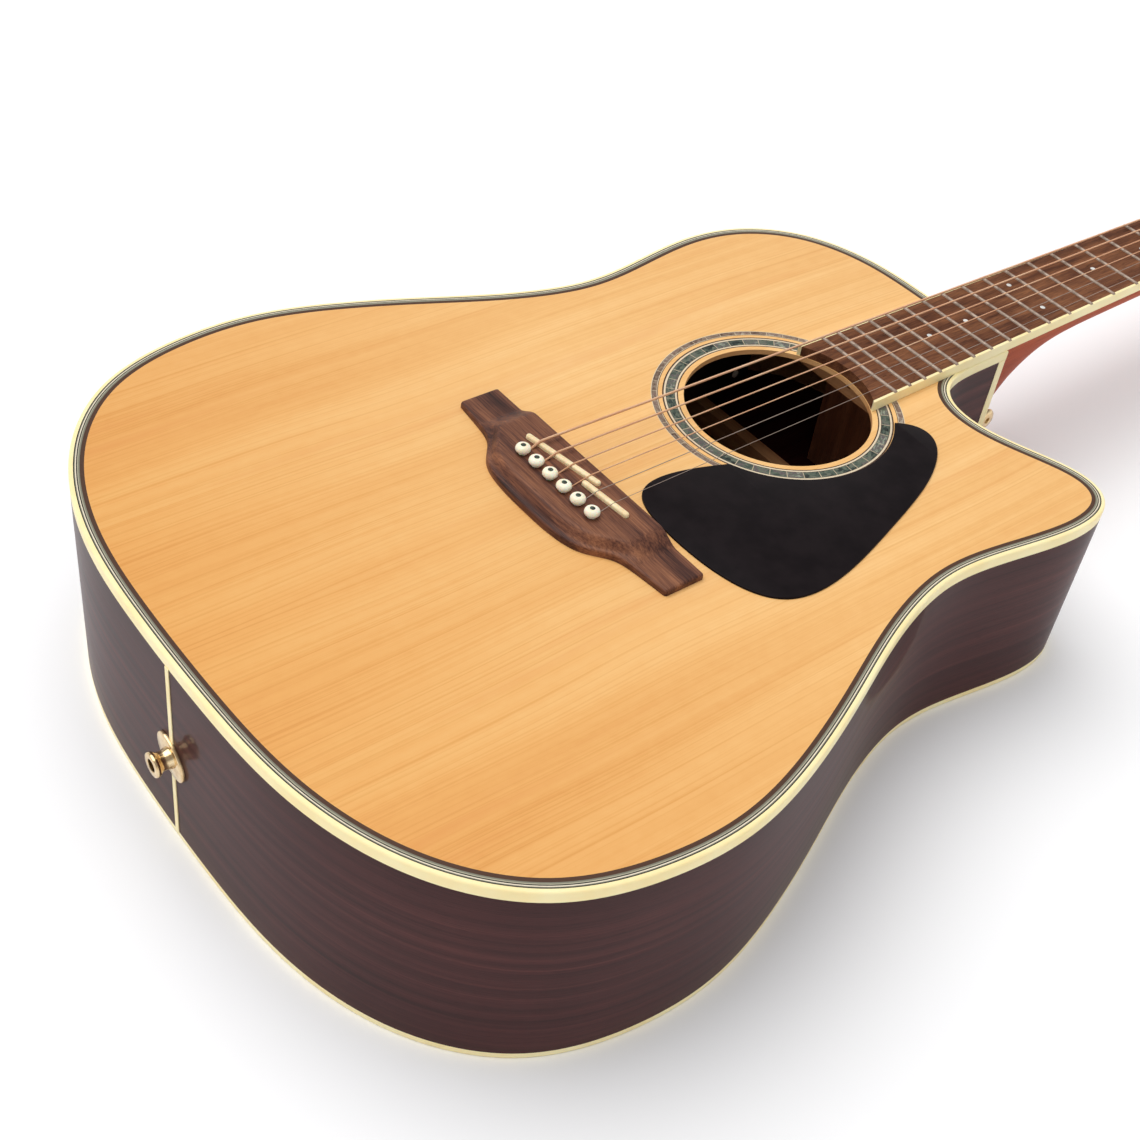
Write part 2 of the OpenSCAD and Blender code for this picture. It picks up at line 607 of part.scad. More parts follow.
// ---- Preamp, in the panel's frame: X along the side, Y down, Z out of the side ----
module panel_block(z_in, z_out) translate([-panel_l / 2, -panel_h / 2, -z_in - 5])
    cube([panel_l, panel_h, z_in + z_out + 5]);
module drawer_hole() translate([drawer_u - drawer_size[0] / 2 - loose,
    -drawer_size[1] / 2 - loose, -10]) cube([drawer_size[0] + 2 * loose,
        drawer_size[1] + 2 * loose, 40]);
module preamp_housing() color("#1c1c1e") place() on_panel() difference() {
    translate([-panel_l / 2, -panel_h / 2, panel_out - panel_d])
        cube([panel_l, panel_h, panel_d]);
    translate([-panel_l / 2 + panel_wall, -panel_h / 2 + panel_wall,
        panel_out - panel_d + panel_wall]) cube([panel_l - 2 * panel_wall,
            panel_h - 2 * panel_wall, panel_d - panel_wall - front_t]);
    for (u = knob_u) translate([u, knob_w, -10]) cylinder(r = knob_shaft_r + fit, h = 30);
    translate([button_u, button_w, -10]) cylinder(r = 3.5, h = 30);
    drawer_hole();
}
module preamp_knob(u) color("#26262a") place() on_panel() translate([u, knob_w, 0]) {
    translate([0, 0, -6]) cylinder(r = knob_shaft_r, h = panel_out + 6.3);
    translate([0, 0, panel_out + 0.3]) cylinder(r1 = 6.2, r2 = 5.6, h = 7);
}
module preamp_button() color("gainsboro") place() on_panel()
    translate([button_u, button_w, -3]) cylinder(r = 3.4, h = panel_out + 5.2);
tray_d = 52;
module battery_drawer() color("#242427") place() on_panel() translate([drawer_u, 0, 0])
    difference() {
        union() {
            translate([-drawer_size[0] / 2, -drawer_size[1] / 2, panel_out - front_t])
                cube([drawer_size[0], drawer_size[1], front_t]);
            translate([-drawer_size[0] / 2 + 0.2, -drawer_size[1] / 2 + 0.8,
                panel_out - front_t - tray_d]) cube([drawer_size[0] - 0.4, 28.6, tray_d + 0.1]);
        }
        translate([-8.9, -drawer_size[1] / 2 + 1.9, panel_out - front_t - tray_d + 1.2])
            cube([17.8, 40, tray_d - 2.2]);
        translate([-5, drawer_size[1] / 2 - 3.4, panel_out - 1.2]) cube([10, 2.4, 3]);
    }
module battery() color("#5b6168") place() on_panel() translate([drawer_u - 8.7,
    -drawer_size[1] / 2 + 2, panel_out - front_t - tray_d + 1.6]) cube([17.4, 26.2, 48.5]);

soundboard();
back();
sides();
linings();
end_blocks();
soundboard_braces();
bridge_plate();
back_braces();
body_binding();
purfling();
rosette();
pickguard();
bridge();
saddles();
pickup();
neck();
fretboard();
fretboard_binding();
frets();
position_dots();
nut();
truss_rod();
headstock_veneer();
tuner_housings();
tuner_bushings();
strings();
strap_button();
end_jack();
preamp_housing();
bridge_pin(0);  // bridge_pin_1
bridge_pin(1);  // bridge_pin_2
bridge_pin(2);  // bridge_pin_3
bridge_pin(3);  // bridge_pin_4
bridge_pin(4);  // bridge_pin_5
bridge_pin(5);  // bridge_pin_6
tuner_key(0);  // tuner_key_1
tuner_key(1);  // tuner_key_2
tuner_key(2);  // tuner_key_3
tuner_key(3);  // tuner_key_4
tuner_key(4);  // tuner_key_5
tuner_key(5);  // tuner_key_6
tuner_post(0);  // tuner_post_1
tuner_post(1);  // tuner_post_2
tuner_post(2);  // tuner_post_3
tuner_post(3);  // tuner_post_4
tuner_post(4);  // tuner_post_5
tuner_post(5);  // tuner_post_6
string_winding(0);  // string_winding_1
string_winding(1);  // string_winding_2
string_winding(2);  // string_winding_3
string_winding(3);  // string_winding_4
string_winding(4);  // string_winding_5
string_winding(5);  // string_winding_6
preamp_knob(knob_u[0]);  // preamp_knob_1
preamp_knob(knob_u[1]);  // preamp_knob_2
preamp_knob(knob_u[2]);  // preamp_knob_3
preamp_knob(knob_u[3]);  // preamp_knob_4
preamp_button();
battery_drawer();
battery();
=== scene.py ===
from math import asin, atan, atan2, copysign, cos, exp, pi, radians, sin, tau

import bmesh
import bpy
from mathutils import Matrix, Vector
from mathutils.geometry import tessellate_polygon


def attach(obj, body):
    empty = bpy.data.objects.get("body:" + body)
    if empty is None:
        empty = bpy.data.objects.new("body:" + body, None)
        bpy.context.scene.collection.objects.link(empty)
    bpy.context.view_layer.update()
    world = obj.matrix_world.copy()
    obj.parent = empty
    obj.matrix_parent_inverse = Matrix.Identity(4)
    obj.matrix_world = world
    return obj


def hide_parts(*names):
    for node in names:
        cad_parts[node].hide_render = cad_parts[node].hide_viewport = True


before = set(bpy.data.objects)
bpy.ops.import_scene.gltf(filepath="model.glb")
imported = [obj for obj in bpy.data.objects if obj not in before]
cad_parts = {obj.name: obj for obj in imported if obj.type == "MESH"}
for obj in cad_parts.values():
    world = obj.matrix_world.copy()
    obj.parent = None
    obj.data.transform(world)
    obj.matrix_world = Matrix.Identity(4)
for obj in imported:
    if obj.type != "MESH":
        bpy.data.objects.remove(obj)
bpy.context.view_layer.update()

# ---- Sizes in millimetres, the same as the CAD part's ----
SCALE = 644
NUT_W = 42.5
BOARD_SLOPE = 6 / (SCALE - SCALE * 2 ** (-14 / 12))
BOARD_T = 6
ROD_SLOT = [(-3.2, 268), (3.2, 268), (3.2, 632), (-3.2, 632)]
FRET_H = 1.05
FRETS = 21
NUT_L = 5
HEAD_Y = SCALE + NUT_L
HEAD_ANGLE = radians(14)
HEAD_T = 14
VENEER_T = 1.5
THROAT_L = 20
NECK_T = 14.5
NECK_T_GAIN = 1.3
HEEL_DEPTH = 78
HEEL_L = 23
DRILL_R = 5
BODY_DEPTH_TAIL = 118
BODY_DEPTH_NECK = 100
JOIN_Y = 287
TAIL_Y = -220
PLATE_T = 3
SIDE_T = 2.2
TOP_BINDING_H = 6
BACK_BINDING_H = 4
PURFLING_W = 5
PURFLING_T = 1.5
HOLE_R = 50
HOLE_Y = 133
ROSETTE_T = 1
ROSETTE_RINGS = [(53, 61.4), (63.6, 67.4)]
GUARD_T = 1.2
GUARD_INNER_R = 61.7
BINDING_W = 1.6
BINDING_ROUND = 1.1
TAIL_STRIP_HALF = 1.5
HEEL_STRIP_X = 20
HEEL_STRIP_Y = 281
BASS_SIDE_X = -100
NEAR_TAIL_Y = -200
SLIP_L = 9.3
BRIDGE_H = 9
WING_H = 3.5
WING_START = 62
WING_RUN = 14
BELLY_LOW = 4
BELLY_RUN = 8
BRIDGE_HALF = 81
BRIDGE_FRONT = 9.5
SADDLE_W = 3.2
SADDLE_TOP = 11
SADDLE_BOTTOM = 4.4
LONG_SADDLE = [(-36, -6.3), (12, 1.5)]
SHORT_SADDLE = [(6, -4.3), (37, -1.5)]
PIN_Y = -15.5
PIN_HOLE_R = 2.5
STRING_R = [0.675, 0.535, 0.405, 0.30, 0.205, 0.15]
STRING_GAP = 10.8
NUT_GAP = 7.1
NUT_SLOT = 7.5
TUNER_X = [-18, -20, -22, 22, 20, 18]
TUNER_Y = [126, 84, 42, 42, 84, 126]
AXIS_GAP = 7.75
GEAR_Z = -20.5
GEAR_TEETH = 14
WORM_LEAD = 2.4
HOUSING_Z = (-27, -14)
BUSHING_R = (3.05, 4.95, 7)
NUT_R = 5.6
KEY_X = 46
WINDING_Z = 6.6
WAIST_R = 2.6
TURNS = 3
PANEL_L = 84
PANEL_H = 40
PANEL_D = 59
PANEL_OUT = 5
PANEL_AT = Vector((-146.2, 170, -52))
PANEL_TURN = radians(3.6)
KNOB_U = [-34, -20, -6, 8]
KNOB_V = 7
BUTTON_AT = (-34, -11)
DRAWER_U = 29
DRAWER_W = 20
DRAWER_H = 31
TRAY_D = 52
JACK_Z = -62
JACK_HALF = 5.3
JACK_TURN = radians(38)
OVAL_R = (12.6, 8.8)
OVAL_SCREW_X = 9.2
STRAP_AT = (10, 299, -58)

# Control points of the body's edge: cutaway, waist to tail, bass shoulder
CUTAWAY = [(28, 287), (28, 264), (29, 237), (42, 220), (68, 217), (99, 229),
           (126, 239), (149, 230), (154, 197)]
LOWER = [(144, 149), (140, 111), (154, 65), (172, 26), (189, -15), (203, -61),
         (202, -107), (188, -159), (145, -198), (88, -217), (29, -220)]
SHOULDER = [(-153, 196), (-147, 237), (-121, 271), (-78, 287), (-35, 287),
            (1, 287), (28, 287)]
GUARD = [(30, 90), (14, 52), (13, 19), (48, 14), (88, 16), (116, 30), (117, 66),
         (101, 116), (87, 160), (66, 190), (44, 186), (32, 150)]
BELLY = [(81, -14), (62, -16), (50, -18), (43, -25), (34, -32), (16, -34.5), (0, -34.5)]
HEAD = [(21.5, 0), (23, 9), (35, 24), (38, 44), (37, 84), (36, 130), (34, 168),
        (28, 186), (12, 184), (0, 190)]

# ---- Frames ----
QUARTER = radians(90)


def move(x, y, z=0.0):
    return Matrix.Translation((x, y, z))


def spin(angle, axis):
    return Matrix.Rotation(angle, 4, axis)


BACK_SLOPE = (BODY_DEPTH_TAIL - BODY_DEPTH_NECK) / (JOIN_Y - TAIL_Y)
BACK_Z = -(BODY_DEPTH_TAIL + TAIL_Y * BACK_SLOPE)
METRES = Matrix.Scale(0.001, 4)
TOP = METRES @ spin(-atan(BACK_SLOPE), "X") @ move(0, 0, -BACK_Z)
HEAD_FROM_TOP = move(0, HEAD_Y) @ spin(-HEAD_ANGLE, "X")
ON_HEAD = TOP @ move(0, HEAD_Y) @ spin(-HEAD_ANGLE, "X")
ON_PANEL = (TOP @ move(*PANEL_AT) @ spin(PANEL_TURN, "Z") @ spin(-QUARTER, "Y")
            @ spin(QUARTER, "Z"))
AT_JACK = TOP @ move(0, TAIL_Y, JACK_Z) @ spin(-QUARTER, "X")
AT_STRAP = TOP @ move(*STRAP_AT) @ spin(QUARTER, "Y")


def at_tuner(i):
    """Frame of tuner i, with X pointing out of the headstock's edge"""
    flip = Matrix.Scale(-1, 4, (1, 0, 0)) if TUNER_X[i] < 0 else Matrix.Identity(4)
    return ON_HEAD @ move(TUNER_X[i], TUNER_Y[i]) @ flip


def back_at(y, up=0):
    """Height of a point that is up above the back's outer face"""
    return BACK_Z + y * BACK_SLOPE + up


def fret_y(n):
    return SCALE * 2 ** (-n / 12)


def half_board(y):
    return NUT_W / 2 + (SCALE - y) * BOARD_SLOPE


# ---- Plane curves ----
def spline(control, steps):
    """Uniform cubic B-spline that starts and ends on its first and last control points"""
    c = [Vector(p) for p in control]
    c = [2 * c[0] - c[1]] + c + [2 * c[-1] - c[-2]]
    points = []
    for i in range(len(c) - 3):
        for s in range(steps):
            t = s / steps
            points.append((c[i] * (1 - t) ** 3 + c[i + 1] * (3 * t ** 3 - 6 * t * t + 4)
                           + c[i + 2] * (-3 * t ** 3 + 3 * t * t + 3 * t + 1)
                           + c[i + 3] * t ** 3) / 6)
    return points + [Vector(control[-1])]


def mirrored(points):
    return [Vector((-p[0], p[1])) for p in reversed(points)]


def area(loop):
    return sum(a[0] * b[1] - b[0] * a[1] for a, b in zip(loop, loop[1:] + loop[:1])) / 2


def offset(loop, d):
    """The closed loop moved outwards by d, with as many points"""
    side = -1 if area(loop) > 0 else 1
    moved = []
    for i, p in enumerate(loop):
        before = (p - loop[i - 1]).normalized()
        after = (loop[(i + 1) % len(loop)] - p).normalized()
        u = Vector((-before[1], before[0])) * side
        v = Vector((-after[1], after[0])) * side
        moved.append(p + d * (u + v) / max(0.3, 1 + u.dot(v)))
    return moved


def ellipse(rx, ry, sides, centre=(0, 0)):
    return [Vector((centre[0] + rx * cos(tau * k / sides),
                    centre[1] + ry * sin(tau * k / sides))) for k in range(sides)]


def circle(r, sides, centre=(0, 0)):
    return ellipse(r, r, sides, centre)


def at_heights(loop, *heights):
    """Copies of a plane loop at each of the heights"""
    return [[(p[0], p[1], z) for p in loop] for z in heights]


def between(a, b, t):
    return a + (b - a) * t


def rounded_rect(w, h, r, steps=5, centre=(0, 0)):
    loop = []
    for k, (sx, sy) in enumerate([(1, 1), (-1, 1), (-1, -1), (1, -1)]):
        for s in range(steps + 1):
            a = QUARTER * (k + s / steps)
            loop.append(Vector((centre[0] + sx * (w / 2 - r) + r * cos(a),
                                centre[1] + sy * (h / 2 - r) + r * sin(a))))
    return loop


def smooth_corners(path, r, steps=5):
    """An open path with each inner corner cut back by r and curved"""
    path = [Vector(p) for p in path]
    out = [path[0]]
    for a, b, c in zip(path, path[1:], path[2:]):
        ra = min(r, (a - b).length * 0.45)
        rc = min(r, (c - b).length * 0.45)
        p = b + (a - b).normalized() * ra
        q = b + (c - b).normalized() * rc
        for s in range(steps + 1):
            t = s / steps
            out.append(p * (1 - t) ** 2 + b * (2 * t * (1 - t)) + q * t * t)
    return out + [path[-1]]


# ---- Building pieces ----
class Shape:
    """Points and faces of one piece, in millimetres in the frame it is drawn in"""

    def __init__(self):
        self.points = []
        self.faces = []
        self.paints = []
        self.uvs = []

    def add_face(self, corners, paint=0, uv=None):
        self.faces.append(corners)
        self.paints.append(paint)
        self.uvs.append(uv or [(0, 0)] * len(corners))

    def add_points(self, points, matrix=None):
        first = len(self.points)
        self.points += [matrix @ Vector(p) if matrix else Vector(p) for p in points]
        return first

    def loft(self, rings, loop=False, tube=True, caps=True, paint=0, matrix=None):
        """Skin through rings of points. loop joins the last ring to the first, and tube
        closes each ring. UVs are metres along and across."""
        n = len(rings[0])
        starts = [self.add_points(r, matrix) for r in rings]
        along = [0.0]
        middle = n // 2
        for a, b in zip(rings, rings[1:] + rings[:1]):
            along.append(along[-1] + (Vector(b[middle]) - Vector(a[middle])).length * 0.001)
        across = [0.0]
        for a, b in zip(rings[0], rings[0][1:] + rings[0][:1]):
            across.append(across[-1] + (Vector(b) - Vector(a)).length * 0.001)
        for j in range(len(rings) if loop else len(rings) - 1):
            a, b = starts[j], starts[(j + 1) % len(rings)]
            for k in range(n if tube else n - 1):
                m = (k + 1) % n
                shade = paint[k] if isinstance(paint, list) else paint
                uv = [(along[j], across[k]), (along[j], across[k + 1]),
                      (along[j + 1], across[k + 1]), (along[j + 1], across[k])]
                self.add_face([a + k, a + m, b + m, b + k], shade, uv)
        if caps and not loop:
            cap = paint[0] if isinstance(paint, list) else paint
            self.add_face([starts[0] + k for k in range(n)], cap)
            self.add_face([starts[-1] + k for k in range(n)], cap)
        return self

    def fill(self, outer, holes, z, paint=0, matrix=None):
        """Flat face at height z inside outer and outside the holes"""
        loops = [[Vector((p[0], p[1], z)) for p in loop] for loop in [outer] + holes]
        first = self.add_points([p for loop in loops for p in loop], matrix)
        for t in tessellate_polygon(loops):
            self.add_face([first + k for k in t], paint)

    def wall(self, loop, z0, z1, paint=0, matrix=None):
        self.loft(at_heights(loop, z0, z1), caps=False, paint=paint, matrix=matrix)

    def prism(self, loop, z0, z1, matrix=None):
        return self.loft(at_heights(loop, z0, z1), matrix=matrix)

    def ring(self, outer, inner, z, paint=0, matrix=None):
        """Flat ring between two loops that have as many points"""
        rings = [[(p[0], p[1], z), (q[0], q[1], z)] for p, q in zip(outer, inner)]
        self.loft(rings, loop=True, tube=False, paint=paint, matrix=matrix)

    def slab(self, loop, z0, z1, top=0.0, bottom=0.0, paint=0, matrix=None, steps=3):
        """Plate with rounded upper and lower edges"""
        levels = []
        for s in range(steps + 1 if bottom else 1):
            a = QUARTER * s / steps
            levels.append((bottom * (1 - sin(a)), z0 + bottom * (1 - cos(a))))
        for s in range(steps + 1 if top else 1):
            a = QUARTER * s / steps
            levels.append((top * (1 - cos(a)), z1 - top * (1 - sin(a))))
        loops = [(offset(loop, -inset) if inset else loop, z) for inset, z in levels]
        self.loft([at_heights(level, z)[0] for level, z in loops], caps=False,
                  paint=paint, matrix=matrix)
        self.fill(loops[0][0], [], z0, paint, matrix)
        self.fill(loops[-1][0], [], z1, paint, matrix)
        return self

    def lathe(self, profile, sides=48, paint=0, matrix=None, loop=False, ribs=None):
        """Turned shape: profile is radius and height. ribs is a count, a depth and the
        heights between which the skin is ribbed."""
        rings = []
        for r, z in profile:
            if r <= 0:
                continue
            ring = []
            for k in range(sides):
                a = tau * k / sides
                q = r
                if ribs and ribs[2] <= z <= ribs[3]:
                    q -= ribs[1] * (0.5 - 0.5 * cos(ribs[0] * a))
                ring.append((q * cos(a), q * sin(a), z))
            rings.append(ring)
        return self.loft(rings, loop=loop, paint=paint, matrix=matrix)

    def tube(self, path, r, sides=12, paint=0, matrix=None):
        """Round bar of radius r along a path that never runs along X"""
        path = [Vector(p) for p in path]
        rings = []
        for i, p in enumerate(path):
            d = (path[min(i + 1, len(path) - 1)] - path[max(i - 1, 0)]).normalized()
            u = d.cross(Vector((1, 0, 0))).normalized()
            v = u.cross(d)
            rings.append([p + r * (cos(tau * k / sides) * u
                                   + sin(tau * k / sides) * v) for k in range(sides)])
        return self.loft(rings, paint=paint, matrix=matrix)


def mesh_object(name, shape, matrix, weld=True):
    mesh = bpy.data.meshes.new(name)
    mesh.from_pydata([matrix @ p for p in shape.points], [], shape.faces)
    layer = mesh.uv_layers.new(name="Along")
    for polygon, paint, uv in zip(mesh.polygons, shape.paints, shape.uvs):
        polygon.material_index = paint
        for corner, value in zip(polygon.loop_indices, uv):
            layer.data[corner].uv = value
    work = bmesh.new()
    work.from_mesh(mesh)
    if weld:
        bmesh.ops.remove_doubles(work, verts=work.verts, dist=1e-6)
    bmesh.ops.dissolve_degenerate(work, edges=work.edges, dist=1e-7)
    bmesh.ops.recalc_face_normals(work, faces=work.faces)
    work.to_mesh(mesh)
    work.free()
    obj = bpy.data.objects.new(name, mesh)
    bpy.context.collection.objects.link(obj)
    return obj


def carve(obj, cutter):
    """Takes the cutter's closed shapes out of obj, and removes the cutter"""
    cut = obj.modifiers.new("cut", "BOOLEAN")
    cut.operation = "DIFFERENCE"
    cut.solver = "EXACT"
    cut.object = cutter
    result = obj.evaluated_get(bpy.context.evaluated_depsgraph_get())
    mesh = bpy.data.meshes.new_from_object(result)
    obj.modifiers.clear()
    obj.data = mesh
    bpy.data.objects.remove(cutter)


def piece(name, shape, matrix, paints, nodes=(), body="root", sharp=32, cutter=None):
    obj = mesh_object(name, shape, matrix)
    for paint in paints:
        obj.data.materials.append(paint)
    if cutter:
        carve(obj, mesh_object(name + "_cutter", cutter, matrix))
    obj.data.shade_smooth()
    obj.data.set_sharp_from_angle(angle=radians(sharp))
    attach(obj, body)
    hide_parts(*nodes)
    return obj


# ---- Materials ----
def srgb(r, g, b):
    def linear(c):
        c /= 255
        return c / 12.92 if c <= 0.04045 else ((c + 0.055) / 1.055) ** 2.4
    return (linear(r), linear(g), linear(b), 1)


def put(tree, socket, value):
    if isinstance(value, bpy.types.NodeSocket):
        tree.links.new(value, socket)
    else:
        socket.default_value = value


def node(tree, kind, inputs=None, **settings):
    n = tree.nodes.new("ShaderNode" + kind)
    for key, value in settings.items():
        setattr(n, key, value)
    for key, value in (inputs or {}).items():
        put(tree, n.inputs[key], value)
    return n


def mix(tree, factor, a, b, mode="MIX"):
    n = tree.nodes.new("ShaderNodeMix")
    n.data_type = "RGBA"
    n.blend_type = mode
    for index, value in ((0, factor), (6, a), (7, b)):
        put(tree, n.inputs[index], value)
    return n.outputs[2]


def ramp(tree, value, stops, mode="LINEAR"):
    n = node(tree, "ValToRGB", {"Fac": value})
    n.color_ramp.interpolation = mode
    elements = n.color_ramp.elements
    while len(elements) < len(stops):
        elements.new(0.5)
    for element, (position, color) in zip(elements, stops):
        element.position = position
        element.color = color
    return n.outputs["Color"]


def grey(v):
    return (v, v, v, 1)


def toned(stops):
    """Ramp stops from a share with a red, green and blue of 0 to 255 each"""
    return [(share, srgb(*rgb)) for share, *rgb in stops]


def math_node(tree, operation, a, b=0.0):
    n = node(tree, "Math", operation=operation)
    put(tree, n.inputs[0], a)
    put(tree, n.inputs[1], b)
    return n.outputs[0]


def times(tree, a, b):
    return math_node(tree, "MULTIPLY", a, b)


def weighted(tree, *terms):
    """Sum of (value, weight) terms"""
    total = times(tree, *terms[0])
    for value, weight in terms[1:]:
        total = math_node(tree, "ADD", total, times(tree, value, weight))
    return total


def axes(tree, place):
    return node(tree, "SeparateXYZ", {"Vector": place}).outputs


def coordinates(tree, uv=False, mirror_x=False):
    """The piece's own place in metres, or its metres along and across"""
    if uv:
        return node(tree, "UVMap", uv_map="Along").outputs["UV"]
    place = node(tree, "TexCoord").outputs["Object"]
    if not mirror_x:
        return place
    parts = axes(tree, place)
    whole = node(tree, "CombineXYZ", {"X": math_node(tree, "ABSOLUTE", parts["X"]),
                                      "Y": parts["Y"], "Z": parts["Z"]})
    return whole.outputs["Vector"]


def stretched(tree, place, size, shift=0.0):
    """Coordinates counted in cells of the given size, in millimetres"""
    n = node(tree, "Mapping", {"Vector": place,
                               "Scale": [1000 / s for s in size],
                               "Location": (shift, shift, shift)})
    return n.outputs["Vector"]


def noise(tree, place, size, detail=2.0, rough=0.5, shift=0.0):
    n = node(tree, "TexNoise", {"Vector": stretched(tree, place, size, shift),
                                "Scale": 1.0, "Detail": detail, "Roughness": rough})
    return n.outputs["Fac"]


def principled(name, **values):
    material = bpy.data.materials.new(name)
    material.use_nodes = True
    tree = material.node_tree
    shader = tree.nodes["Principled BSDF"]
    for key, value in values.items():
        shader.inputs[key.replace("_", " ")].default_value = value
    return material, tree, shader


def bump(tree, shader, height, distance):
    n = node(tree, "Bump", {"Height": height, "Distance": distance, "Strength": 1.0})
    put(tree, shader.inputs["Normal"], n.outputs["Normal"])


def uneven_polish(tree, shader, value, rough):
    """Roughness that follows a noise value between two amounts"""
    n = node(tree, "MapRange", {"Value": value, "From Min": 0.3, "From Max": 0.7,
                                "To Min": rough[0], "To Max": rough[1]})
    put(tree, shader.inputs["Roughness"], n.outputs["Result"])


def wood(name, stops, along=1, uv=False, fine=(0.9, 160), band=(12, 520), cloud=60,
         fine_share=0.3, pores=0.0, book=False, rough=(0.35, 0.5), coat=0.0,
         coat_rough=0.1, relief=0.00003, spec=0.5):
    """Straight-grained wood. fine and band are the width and length of the grain's
    lines in millimetres, and along is the axis the grain follows."""
    material, tree, shader = principled(name, Coat_Weight=coat, Coat_Roughness=coat_rough,
                                        Specular_IOR_Level=spec)
    place = coordinates(tree, uv, book)

    def cell(size):
        if uv:
            return (size[1], size[0], size[0])
        return tuple(size[1] if axis == along else size[0] for axis in range(3))

    lines = noise(tree, place, cell(fine), 3.0, 0.55)
    bands = noise(tree, place, cell(band), 2.0, 0.5, shift=7.3)
    clouds = noise(tree, place, (cloud, cloud, cloud), 2.0, 0.5, shift=3.1)
    broad_share = 1 - fine_share
    total = weighted(tree, (lines, fine_share), (bands, 0.75 * broad_share),
                     (clouds, 0.25 * broad_share))
    color = ramp(tree, total, toned(stops))
    height = lines
    if pores:
        dashes = noise(tree, place, cell((0.32, 7)), 1.0, 0.5, shift=11.7)
        mask = ramp(tree, dashes, [(0.60, grey(1)), (0.70, grey(1 - pores))])
        color = mix(tree, 1.0, color, mask, "MULTIPLY")
        height = mix(tree, 0.7, lines, mask)
    put(tree, shader.inputs["Base Color"], color)
    uneven_polish(tree, shader, lines, rough)
    bump(tree, shader, height, relief)
    return material


def moulded(name, color, other, rough=(0.3, 0.4), metallic=0.0, size=6, grain=0.35,
            relief=0.00001, coat=0.0, spec=0.5, scatter=0.0):
    """Plastic, bone or metal: a tone that drifts, a fine surface grain, and a polish
    that isn't quite even"""
    material, tree, shader = principled(name, Metallic=metallic, Coat_Weight=coat,
                                        Coat_Roughness=0.05, Specular_IOR_Level=spec,
                                        Subsurface_Weight=scatter)
    if scatter:
        shader.inputs["Subsurface Scale"].default_value = 0.001
    place = coordinates(tree)
    drift = noise(tree, place, (size, size, size), 3.0, 0.6)
    fine = noise(tree, place, (grain, grain, grain), 2.0, 0.6)
    mask = ramp(tree, drift, [(0.38, grey(0)), (0.62, grey(1))])
    put(tree, shader.inputs["Base Color"], mix(tree, mask, srgb(*color), srgb(*other)))
    uneven_polish(tree, shader, drift, rough)
    bump(tree, shader, fine, relief)
    return material


def pearl(tree, place, tones):
    """Slips of shell end to end with a pale joint between them, each with its own tone
    and with flakes and waves inside it"""
    count = times(tree, axes(tree, place)["X"], 1000 / SLIP_L)
    joint = math_node(tree, "LESS_THAN", math_node(tree, "FRACT", count), 0.045)
    slip = math_node(tree, "FLOOR", count)
    own = node(tree, "TexWhiteNoise", {"W": slip}, noise_dimensions="1D").outputs["Value"]
    flakes = node(tree, "TexVoronoi", {"Vector": stretched(tree, place, (2.4, 1.3, 1)),
                                       "Scale": 1.0, "Randomness": 1.0})
    flake = node(tree, "SeparateColor", {"Color": flakes.outputs["Color"]}).outputs["Green"]
    waves = noise(tree, place, (3.4, 0.9, 1), 4.0, 0.65)
    value = weighted(tree, (own, 0.3), (flake, 0.28), (waves, 0.55))
    shares = (0.24, 0.38, 0.5, 0.6, 0.7, 0.84)
    color = ramp(tree, value, [(share, srgb(*rgb)) for share, rgb in zip(shares, tones)])
    return mix(tree, joint, color, srgb(190, 174, 148))


def striped(name, width, stripes, shell=None, tones=()):
    """Thin lines side by side across a strip of the given width in millimetres.
    stripes are the share of the width where each colour starts. shell is the shares of
    the width between which the strip is made of pearl slips in the given tones."""
    material, tree, shader = principled(name, Roughness=0.35, Coat_Weight=0.08,
                                        Coat_Roughness=0.08, Specular_IOR_Level=0.1)
    place = coordinates(tree, True)
    share = times(tree, axes(tree, place)["Y"], 1000 / width)
    color = ramp(tree, share, [(start, srgb(*rgb)) for start, rgb in stripes], "CONSTANT")
    wear = noise(tree, place, (3, 0.6, 1), 3.0, 0.6)
    tint = ramp(tree, wear, [(0.35, grey(0.84)), (0.65, grey(1))])
    color = mix(tree, 1.0, color, tint, "MULTIPLY")
    if shell:
        low = math_node(tree, "GREATER_THAN", share, shell[0])
        high = math_node(tree, "LESS_THAN", share, shell[1])
        color = mix(tree, times(tree, low, high), color, pearl(tree, place, tones))
    put(tree, shader.inputs["Base Color"], color)
    bump(tree, shader, share, 0.00002)
    return material


